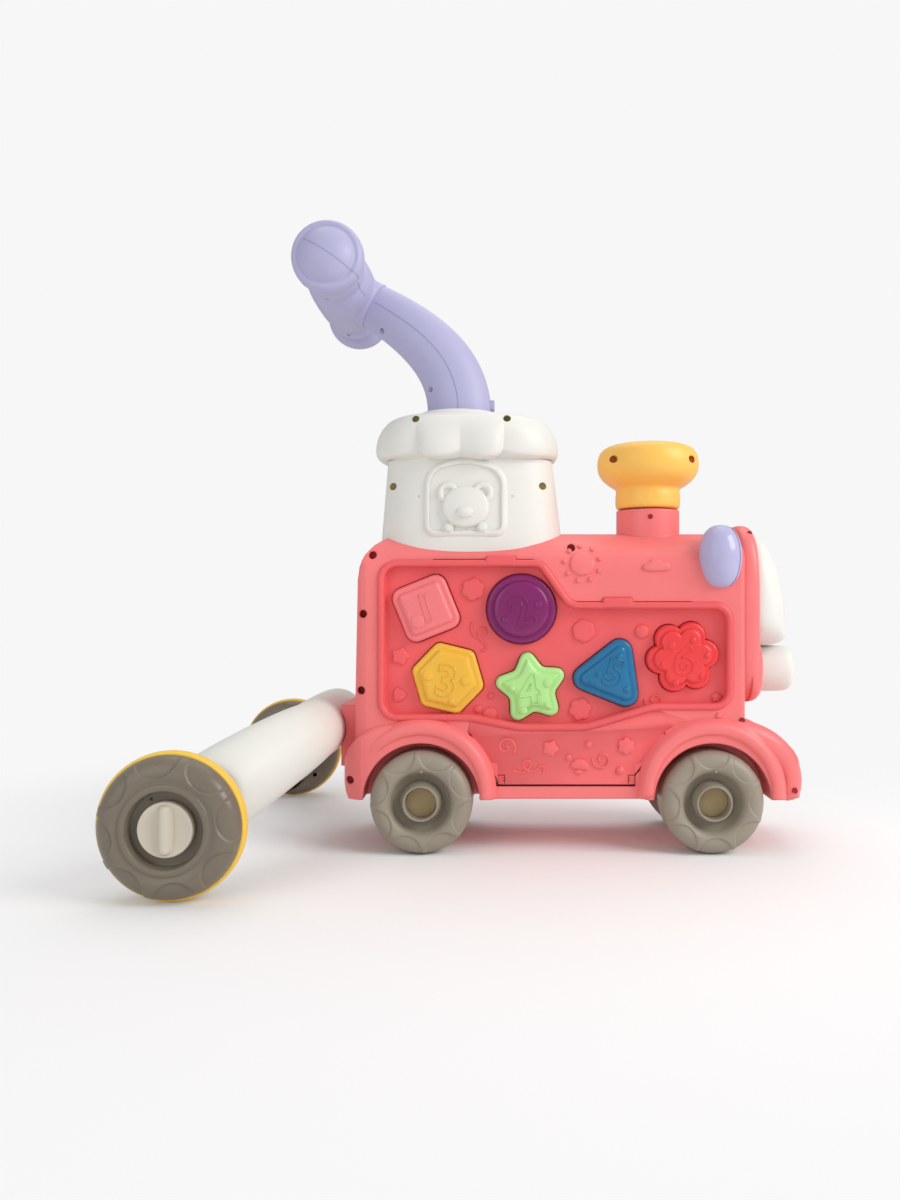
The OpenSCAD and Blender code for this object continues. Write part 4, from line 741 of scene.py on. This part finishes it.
plate_steps = [[188.6, 107.0, 240.0, 43.5], [190.5, 106.4, 242.4, 44.6], [194.0, 106.4, 243.0, 45.0],
               [198.0, 106.6, 242.4, 44.8], [200.2, 107.2, 240.4, 43.8], [201.6, 108.4, 237.6, 42.4],
               [202.3, 110.0, 234.0, 40.6], [202.6, 114.0, 224.0, 36.0], [202.7, 120.0, 206.0, 28.0],
               [202.7, 130.0, 190.0, 18.0]]
lip_steps = [[197.0, 106.6, 160.0, 41.0], [201.0, 106.8, 159.6, 40.6], [204.2, 108.4, 158.0, 39.0],
             [206.0, 111.6, 155.0, 36.0], [206.8, 117.0, 149.0, 30.0], [207.0, 126.0, 140.0, 20.0]]
dome_steps = [[202.4, 150.6, 236.4, 40.0], [205.4, 150.4, 236.4, 40.4], [209.0, 150.3, 234.4, 40.0],
              [213.0, 150.3, 230.0, 38.8], [216.4, 150.4, 224.6, 37.2], [219.4, 150.6, 218.6, 35.4],
              [221.4, 151.0, 212.6, 33.6], [223.6, 151.6, 201.4, 30.0], [225.8, 152.6, 190.0, 26.0],
              [227.6, 153.8, 179.0, 21.0], [229.4, 156.4, 170.0, 14.0], [229.7, 158.0, 164.0, 7.0]]
nose_profile = soften([[18.0, 203.0], [18.0, 206.0], [18.0, 222.0], [17.9, 229.0], [17.0, 233.4],
                       [14.4, 236.2], [10.0, 236.7], [0.05, 236.85]], 3)
white = moulded("white_shell", "e3e2dc", 0.45, 0.02)
make_piece("front_plate_form", joined([upright(plate_steps, 0.5, 3.4), upright(lip_steps, 0.5, 3.0)]),
           "train", coral, ["front_plate"])
# Painted shade: a dark red disc for the shadow in the plate's screw hole.
make_piece("front_plate_well", bossed(disc(1.8, 24), 0.4, (197.0, -31.7, 235.6)), "train", painted_well_shade_red)
make_piece("smokebox_face", upright(dome_steps, 0.3, 2.5), "train", white, ["smokebox_dome"])
make_piece("nose_form", turned(nose_profile, (0, 0, 132.0), "x"), "train", white, ["nose"])
lamp_gloss = moulded("lamp_lavender", "b4b2d6", 0.16, 0.03, grain=0.02)
# Painted shade: a darker lavender for the shadow in the gap between lamp dome and rim.
lamp_bezel_shade = moulded("lamp_painted_shade_line", "7d6f9c", 0.5)


def lamp_ring(side, v, x=172.0, y=44.0, z=217.0, r=16.0, tall=23.5, n=72):
    """Ring of the egg-shaped lamp at an angle above its waist."""
    ring = polar(r * math.cos(math.radians(v)) ** 0.8, angles(n)) + (x, side * y)
    return np.insert(ring, 2, z + tall * math.sin(math.radians(v)), axis=1)


for label, side in (("right", -1), ("left", 1)):
    make_piece("side_lamp_%s_form" % label, loft([lamp_ring(side, v) for v in np.linspace(-88, 88, 45)]),
               "train", lamp_gloss, ["side_lamp_" + label])
    # Painted shade: a thin dark line along each lamp's bezel stands for the shadow in that gap.
    bezel = [lamp_ring(side, v)[side * 8] for v in np.linspace(-66, 66, 40)]
    make_piece("side_lamp_%s_line" % label, pipe(bezel, 0.35, 6), "train", lamp_bezel_shade)


# Cab: two white half shells that stand on the crown, screwed together from the right, with a window frame
# and a small bear's head moulded on the right wall.
cab_power = 2.8


def cab_size(z):
    """Half length, half width and middle of the cab's plan at a height."""
    share = (z - crown_z) / 85.0
    return 72.6 * (1 - 0.12 * share), 43.0 * (1 - 0.1 * share), -12.6 - 1.8 * share


def cab_skin(x, z):
    """Place of the cab's right wall, measured from the middle plane."""
    half, wide, middle = cab_size(z)
    return -wide * max(0.0, 1 - abs((x - middle) / half) ** cab_power) ** (1 / cab_power)


def cab_ring(z, n=220):
    """Outline of the cab's plan at a height."""
    half, wide, middle = cab_size(z)
    t = angles(n)
    x = middle + half * rounded(np.cos(t), 2 / cab_power)
    return np.stack([x, wide * rounded(np.sin(t), 2 / cab_power), np.full(n, z)], 1)


def rod(start, end, r, n=32):
    """Round bar from one point to another."""
    start, end = np.asarray(start, float), np.asarray(end, float)
    way = (end - start) / np.linalg.norm(end - start)
    side = np.cross(way, [0.31, 0.2, 0.93])
    side /= np.linalg.norm(side)
    a = angles(n)[:, None]
    ring = r * (np.cos(a) * side + np.sin(a) * np.cross(way, side))
    return loft([start + ring, end + ring])


def bored(made, rods):
    """Cuts round holes, each from one point to another, out of a piece."""
    cutter = bpy.data.objects.new("cutter", solid_mesh("cutter", joined([rod(*r) for r in rods])))
    scene.collection.objects.link(cutter)
    cut = made.modifiers.new("bore", "BOOLEAN")
    cut.operation = "DIFFERENCE"
    cut.solver = "EXACT"
    cut.object = cutter
    bpy.context.view_layer.update()
    result = bpy.data.meshes.new_from_object(made.evaluated_get(bpy.context.evaluated_depsgraph_get()))
    made.modifiers.clear()
    made.data = result
    bpy.data.objects.remove(cutter)
    result.set_sharp_from_angle(angle=crease)


outside_y = -60
screw_well_r = 2.9
floor_disc_r = 2.85
# Painted shade: tan discs deep in the screw wells of the white cab and roof stand for the shadow in them.
painted_well_shade_tan = moulded("painted_well_shade_tan", "857338", 0.6)
cab = make_piece("cab_form", loft([cab_ring(z) for z in np.linspace(214, 292, 28)]), "train", white,
                 ["cab_right", "cab_left"])
cab_wells = [(-72.0, 271.4), (41.3, 271.4)]
cab_dimples = [(-51.5, 262.6), (18.4, 262.6)]
bored(cab, [((x, outside_y, z), (x, cab_skin(x, z) + 6, z), screw_well_r) for x, z in cab_wells]
      + [((x, outside_y, z), (x, cab_skin(x, z) + 0.8, z), 0.9) for x, z in cab_dimples])
make_piece("cab_well_floors", joined([
    rod((x, cab_skin(x, z) + 2.2, z), (x, cab_skin(x, z) + 5.6, z), floor_disc_r) for x, z in cab_wells]),
    "train", painted_well_shade_tan)
window_corners = [[-27.0, 0.0], [27.0, 0.0], [27.0, 44.0], [0.0, 52.4], [-27.0, 44.0]]
window_radii = [5.0, 5.0, 14.0, 80.0, 14.0]
window_profile = [(-0.3, -1.0), (-0.25, 1.4), (0.1, 1.9), (0.7, 2.15), (1.7, 2.1), (2.8, 1.7), (3.8, 0.9),
                  (4.5, 0.2), (5.0, -0.6)]


def on_cab(line, out):
    """Points in X and Z, stood off the cab's right wall."""
    return np.stack([line[:, 0], [cab_skin(x, z) - out for x, z in line], line[:, 1]], 1)


window_rings = [on_cab(cornered(window_corners, -grow, window_radii, 12) + (-16.6, 236.4), out)
                for grow, out in window_profile]
make_piece("window_frame", loft(window_rings, False, False), "train", white)
head_x, head_z = -16.5, 254.2
snout_out = 5.9
bear = [bossed(disc(1.0, 64) * (17.9, 15.6), 4.6, (head_x, 0, head_z), 2.0, cab_skin),
        bossed(disc(1.0, 64) * (6.3, 4.4), 2.2, (head_x, 0, head_z - 4.2), 1.0,
               lambda x, z: cab_skin(x, z) - snout_out)]
for side in (-1, 1):
    ear_x, ear_z = head_x + side * 12.9, head_z + 10.6
    ear_line = polar(5.7, np.linspace(0, 2 * math.pi, 40)) + (ear_x, ear_z)
    bear += [bossed(disc(7.8), 0.7, (ear_x, 0, ear_z), 0.0, cab_skin), pipe(on_cab(ear_line, 0.6), 2.6, 12),
             bossed(disc(4.1), 3.0, (head_x + side * 12.4, 0, head_z - 15.4), 1.4, cab_skin)]
make_piece("bear_relief", joined(bear), "train", white)


# Roof: two white half shells like whipped cream, with round lobes along the edge. The handle's stem drops
# through the oval well in the middle and stands on a shelf in the cab.
stem_x, stem_deep, stem_wide = -23.0, 25.0, 20.0
roof_x, roof_long, roof_wide = -16.7, 70.5, 52.0
roof_creases = [(69.0, 91.3, 2.2), (91.3, 118.1, 2.2), (118.1, 241.9, 5.0), (241.9, 268.7, 2.2),
                (268.7, 291.0, 2.2), (291.0, 429.0, 5.0)]
roof_turn = angles(720)


def roof_swell(t):
    """How far the roof's edge swells between its creases: 1 in the middle of a lobe, 0 in a crease."""
    swell = np.zeros_like(t)
    for first, last, power in roof_creases:
        for turn in (0.0, 360.0):
            u = (np.degrees(t) + turn - first) / (last - first)
            swell = np.where((u >= 0) & (u <= 1), 1 - np.abs(2 * u - 1) ** power, swell)
    return swell


def roof_ring(z, share, lobe, droop):
    """Outline of the roof at a height, with lobes that droop and ends that lift."""
    swell = roof_swell(roof_turn)
    reach = share * (1 - 0.085 * lobe * (1 - swell))
    c, s = np.cos(roof_turn), np.sin(roof_turn)
    ends = 3.8 * np.abs(c) ** 3 * max(0.0, min(1.0, (312.0 - z) / 20.0))
    return np.stack([roof_x + roof_long * reach * rounded(c, 0.8), roof_wide * reach * rounded(s, 0.8),
                     z + droop * (1 - swell) + ends], 1)


def well_ring(z, grow):
    """Outline of the stem's well at a height."""
    return np.stack([stem_x + (stem_deep + grow) * np.cos(roof_turn), (stem_wide + grow) * np.sin(roof_turn),
                     np.full(len(roof_turn), z)], 1)


roof_steps = soften([[289.6, 0.7, 0.3, 0.5], [289.4, 0.82, 0.8, 2.0], [289.6, 0.91, 1.0, 3.4],
                     [290.2, 0.96, 1.0, 4.2], [292.0, 0.995, 1.0, 3.6], [297.0, 1.008, 1.0, 1.6],
                     [303.0, 1.002, 0.9, 0.2], [308.5, 0.988, 0.6, 0.0], [313.5, 0.962, 0.28, 0.0],
                     [318.0, 0.922, 0.1, 0.0], [321.8, 0.87, 0.02, 0.0], [324.4, 0.8, 0.0, 0.0],
                     [325.6, 0.73, 0.0, 0.0], [325.9, 0.69, 0.0, 0.0]], 2)
well_steps = [(326.0, 11.0), (326.7, 9.9), (328.3, 8.6), (329.9, 6.8), (331.0, 4.6), (331.4, 2.6),
              (331.3, 1.3), (330.4, 0.8), (300.0, 0.7), (262.0, 0.7)]
roof_rings = [roof_ring(*step) for step in roof_steps] + [well_ring(*step) for step in well_steps]
roof = make_piece("roof_form", loft(roof_rings, False, False), "train", white,
                  ["roof_right", "roof_left"])
roof_wells = [(-53.4, 319.7), (14.4, 319.7)]
bored(roof, [((x, outside_y, z), (x, -33.0, z), screw_well_r) for x, z in roof_wells])
make_piece("roof_well_floors", joined([rod((x, -36.2, z), (x, -33.2, z), floor_disc_r)
                                       for x, z in roof_wells]), "train", painted_well_shade_tan)


# Chimney: an amber knob moulded in two halves that screws hold together. It turns on a flanged post
# in the coral collar.
chimney_x = 125.0
knob_wells = [(chimney_x - 29.6, 292.3), (chimney_x + 29.6, 292.3)]
amber = moulded("amber_knob", "fac25c", 0.36, 0.04)
knob_profile = soften([[0.05, 256.0], [20.6, 256.0], [23.6, 256.4], [25.1, 258.6], [25.2, 262.0],
                       [25.2, 267.0], [24.6, 270.6], [25.4, 272.6], [29.6, 275.0], [35.2, 279.4],
                       [38.8, 285.0], [39.6, 291.0], [39.0, 297.0], [36.6, 302.0], [32.0, 304.9],
                       [26.0, 306.3], [18.0, 306.9], [0.05, 307.0]], 3)
knob = make_piece("chimney_form", turned(knob_profile, (chimney_x, 0, 0), "z", 120), "chimney", amber,
                  ["chimney_knob_right", "chimney_knob_left"])
bored(knob, [((x, outside_y, z), (x, -11, z), screw_well_r) for x, z in knob_wells])
# Painted shade: a dark red disc for the shadow in the collar's screw hole.
make_piece("collar_well", plug(123.4, 248.8, 24.65, 2.0), "train", painted_well_shade_red)
# Painted shade: brown discs deep in the knob's screw wells stand for the shadow in them.
painted_well_shade_brown = moulded("painted_well_shade_brown", "9a4a12", 0.6)
make_piece("chimney_well_floors", joined([rod((x, -22.0, z), (x, -11.2, z), floor_disc_r)
                                          for x, z in knob_wells]), "chimney", painted_well_shade_brown)


# Handle: two lavender half shells, an outer and an inner one, that part along the middle of the curved stem
# and round the cross grip. A sprung tab at the stem's foot holds it in the roof.
lavender = moulded("lavender_shell", "b0aed0", 0.42, 0.03)
# Painted shade: the raised seam is real; its darker lavender stands for the shadow in the parting line.
seam_painted_shade = moulded("lavender_seam_painted_shade", "9b98c2", 0.5)
dress(lavender, "handle_latch")


def bezier(p, t):
    """Points on a curve with two ends and two pulls."""
    p = np.asarray(p, float)
    t = np.asarray(t, float)[:, None]
    return (1 - t) ** 3 * p[0] + 3 * t * (1 - t) ** 2 * p[1] + 3 * t * t * (1 - t) * p[2] + t ** 3 * p[3]


stem_t = np.linspace(0, 1, 60)
stem_curve = bezier([[stem_x, 331.5], [stem_x, 371.3], [-52.7, 398.4], [-108.5, 426.2]], stem_t)
stem_line = np.concatenate([[[stem_x, 262.0], [stem_x, 290.0], [stem_x, 320.0]], stem_curve])
stem_share = np.concatenate([[1, 1, 1], 1 - 0.36 * stem_t ** 1.6])
stem_way = np.gradient(stem_line, axis=0)
stem_way /= np.linalg.norm(stem_way, axis=1)[:, None]


def stem_point(k, a, grow=0.0, flare=0.0):
    """Point on the stem's skin at a step of its line and an angle round it."""
    d = (stem_deep * stem_share[k] + grow) * np.sin(a)
    w = (stem_wide * stem_share[k] + grow + flare) * np.cos(a)
    return np.stack([stem_line[k, 0] + stem_way[k, 1] * d, -w, stem_line[k, 1] - stem_way[k, 0] * d], -1)


around = angles(64)
stem = make_piece("handle_stem_form", loft([stem_point(k, around) for k in range(len(stem_line))]), "handle",
                  lavender, ["handle_outer", "handle_inner"])
grip_x, grip_z = -113.0, 428.5
off = np.hypot(*(stem_line - (grip_x, grip_z)).T)
socket = [k for k in range(len(stem_line)) if off[k] < 29.0 and k > 20]
socket_rings = [stem_point(socket[0], around, -1.0), stem_point(socket[0], around, 0.5)]
for k in socket:
    if off[k] > 15:
        flare = 5.5 * math.exp(-(off[k] - 20.5) / 2.4) if off[k] > 18 else 12.0
        socket_rings.append(stem_point(k, around, 0.7, flare))
make_piece("handle_socket", loft(socket_rings), "handle", lavender)
grip = soften([[0.05, -86.0], [5.0, -85.6], [10.0, -84.2], [14.5, -81.8], [17.8, -79.0], [19.6, -76.6],
               [20.3, -76.0], [21.0, -76.2], [23.0, -76.4], [24.9, -74.6], [25.8, -71.6], [25.98, -68.8],
               [25.5, -65.4], [23.4, -62.0], [20.8, -60.0], [20.0, -58.8], [20.2, -58.0], [21.6, -56.6],
               [22.5, -53.0], [22.4, -47.0], [21.9, -43.0], [20.6, -40.4], [20.2, -39.2], [20.9, -37.6],
               [23.0, -33.0], [24.2, -27.0], [24.8, -18.0], [25.0, 0.0]], 2)
whole_grip = np.concatenate([grip, (grip * (1, -1))[-2::-1]])
grip_form = make_piece("handle_grip_form", turned(whole_grip, (grip_x, 0, grip_z), "y", 160), "handle",
                       lavender)
bored(stem, [((-50.0, s * 13.0, 348.3), (-33.0, s * 9.0, 348.3), 2.1) for s in (-1, 1)]
      + [((-89.6, s * 8.8, 383.6), (-78.0, s * 8.8, 402.0), 1.9) for s in (-1, 1)])
bored(grip_form, [((-132.6, s * 70.0, 405.7), (-125.0, s * 70.0, 414.5), 1.7) for s in (-1, 1)]
      + [((-119.2, s * 45.0, 402.0), (-116.7, s * 45.0, 412.0), 1.7) for s in (-1, 1)])
seam_x, seam_z = 0.84, -0.54
over_cap = [(grip_x - seam_x * r, y, grip_z - seam_z * r) for r, y in grip[::-1] if r < 19.0 and y < -77]
over_grip = [(grip_x + seam_x * r, y, grip_z + seam_z * r) for r, y in grip if y < -26]
along_stem = [stem_point(k, np.array(0.0)) for k in range(3, socket[0])][::-1]
make_piece("handle_seam", joined([pipe(line, 0.3, 6) for line in (over_cap, over_grip, along_stem)]),
           "handle", seam_painted_shade)


# Fork: a white cross bar with two flared legs, moulded in plastic halves that the legs hold together.
# A round plug in its middle pushes into the cradle behind the casing.
bar_x, bar_z, bar_r = -130.0, 88.0, 22.0
big_x, big_z = -190.9, 46.0
leg_end_y = 145.0
leg_t = np.linspace(0, 1.22, 44)
leg_line = bezier([[bar_x, -55.0, bar_z], [-131.2, -92.8, 87.2], [-166.5, -114.4, 67.0],
                   [big_x, -leg_end_y, big_z]], leg_t)
bar_line = np.array([[bar_x, y, bar_z] for y in np.linspace(0, -52, 9)])
side_line = np.concatenate([bar_line, leg_line])
side_reach = np.concatenate([np.full(len(bar_line), bar_r), bar_r + 8.0 * np.clip(leg_t, 0, 1)])
fork_line = np.concatenate([side_line[::-1], (side_line * (1, -1, 1))[1:]])
fork_reach = np.concatenate([side_reach[::-1], side_reach[1:]])
fork_way = np.gradient(fork_line, axis=0)
fork_way /= np.linalg.norm(fork_way, axis=1)[:, None]
fork_rings = []
for p, w, r in zip(fork_line, fork_way, fork_reach):
    across = np.cross(w, [0, 0, 1.0])
    across /= np.linalg.norm(across)
    ring = p + r * (np.cos(around)[:, None] * across + np.sin(around)[:, None] * np.cross(across, w))
    ring[:, 1] = np.clip(ring[:, 1], -leg_end_y, leg_end_y)
    fork_rings.append(ring)
fork_white = moulded("white_fork", "e2e2db", 0.48, 0.02)
make_piece("fork_form", loft(fork_rings), "fork", fork_white,
           ["fork_bar_upper", "fork_bar_lower", "fork_leg_right", "fork_leg_left"])
plug_profile = soften([[9.0, -132.0], [9.0, -110.0], [9.0, -89.0], [8.6, -86.0], [6.5, -85.0],
                       [0.05, -85.0]], 2)
make_piece("fork_plug_form", turned(plug_profile, (0, 0, bar_z), "x", 48), "fork", fork_white)


# Rear wheels: two taupe halves with a yellow rubber band between them, on steel spindles in the fork's legs.
# A beige knob in each hub sets how hard the wheel turns.
big_r = 44.2
big_middle = (big_x, 0, big_z)
# Painted shade: the rear wheels use a darker copy of the train wheels' taupe, for the shade they sit in.
shaded_rear_taupe = moulded("rear_wheel_shaded_taupe", "786e60", 0.3)
band_yellow = moulded("band_yellow", "f2c850", 0.55, 0.04)
beige = moulded("knob_beige", "cdc4b4", 0.42, 0.03)
rim = soften([[22.4, 163.2], [28.0, 164.05], [43.6, 164.05], [big_r, 164.6], [44.0, 167.0], [42.6, 170.6],
              [39.6, 173.6], [35.5, 175.2], [31.8, 175.2], [29.6, 174.2], [28.2, 173.9], [27.6, 174.7],
              [26.0, 175.1], [24.4, 174.9], [23.6, 174.0], [23.2, 170.0], [23.0, 166.4], [22.4, 166.0],
              [19.0, 166.0]], 3)
rim = np.concatenate([[[6.2, 163.2]], dense(rim, 0.5), [[6.2, 166.0], [6.2, 163.2]]])
back = soften([[11.0, 147.0], [36.0, 147.0], [40.5, 148.2], [big_r, 152.0], [big_r, 155.0], [big_r, 159.95],
               [41.2, 159.95], [41.2, 153.5], [36.8, 150.0], [11.0, 150.0]], 2)
back = np.concatenate([[[5.1, 147.0]], back, [[11.0, 155.0], [5.1, 155.0], [5.1, 147.0]]])
tyre = soften([[43.0, 155.6], [45.0, 155.6], [46.0, 156.8], [46.0, 162.8], [45.0, 163.98], [43.0, 163.98]], 2)
tyre = np.concatenate([tyre, tyre[:1]])
face = soften([[5.9, 162.6], [6.0, 166.4], [16.4, 166.5], [17.0, 167.2], [17.0, 171.4], [16.4, 172.4],
               [15.2, 172.2], [12.0, 171.2], [6.0, 170.3], [0.05, 170.2]], 2)
rib_steps = [(169.0, 5.2, 15.6), (171.5, 4.5, 15.4), (173.4, 3.5, 15.0), (174.8, 2.4, 14.2),
             (175.5, 1.4, 13.0), (175.7, 0.6, 11.0)]
back_screws = [(big_x + 34.0 * math.cos(a), big_z + 34.0 * math.sin(a)) for a in np.radians([135, -47])]
big_lift = petals(big_r, 8, 1.4, 1.04, 0.325)
for label, side in (("right", -1), ("left", 1)):
    wheel_body = "big_wheel_" + label
    wheel = make_piece("big_wheel_outer_%s_form" % label, turned(rim * (1, side), big_middle, "y", 360,
                       lambda r, a: -side * big_lift(r, a) if r > 30 else np.zeros_like(a), False),
                       wheel_body, shaded_rear_taupe, ["big_wheel_outer_" + label])
    bored(wheel, [((-201.0, side * 180.0, 63.6), (-201.0, side * 164.6, 63.6), 1.2)])
    inner = make_piece("big_wheel_inner_%s_form" % label,
                       turned(back * (1, side), big_middle, "y", 160, None, False),
                       wheel_body, shaded_rear_taupe, ["big_wheel_inner_" + label])
    bored(inner, [((x, side * 140.0, z), (x, side * 152.0, z), 1.9) for x, z in back_screws])
    make_piece("rubber_band_%s_form" % label, turned(tyre * (1, side), big_middle, "y", 200, None, False),
               wheel_body, band_yellow, ["rubber_band_" + label])
    rib = []
    for out, wide, tall in rib_steps:
        line = cornered(box_line(-wide, wide, -tall, tall), 0.0, 0.9 * wide, 8)
        rib.append(stood(line + (big_x, big_z), side * out))
    knob_shape = joined([turned(face * (1, side), big_middle, "y", 96), loft(rib)])
    make_piece("speed_knob_%s_form" % label, knob_shape, "speed_knob_" + label, beige,
               ["speed_knob_" + label])
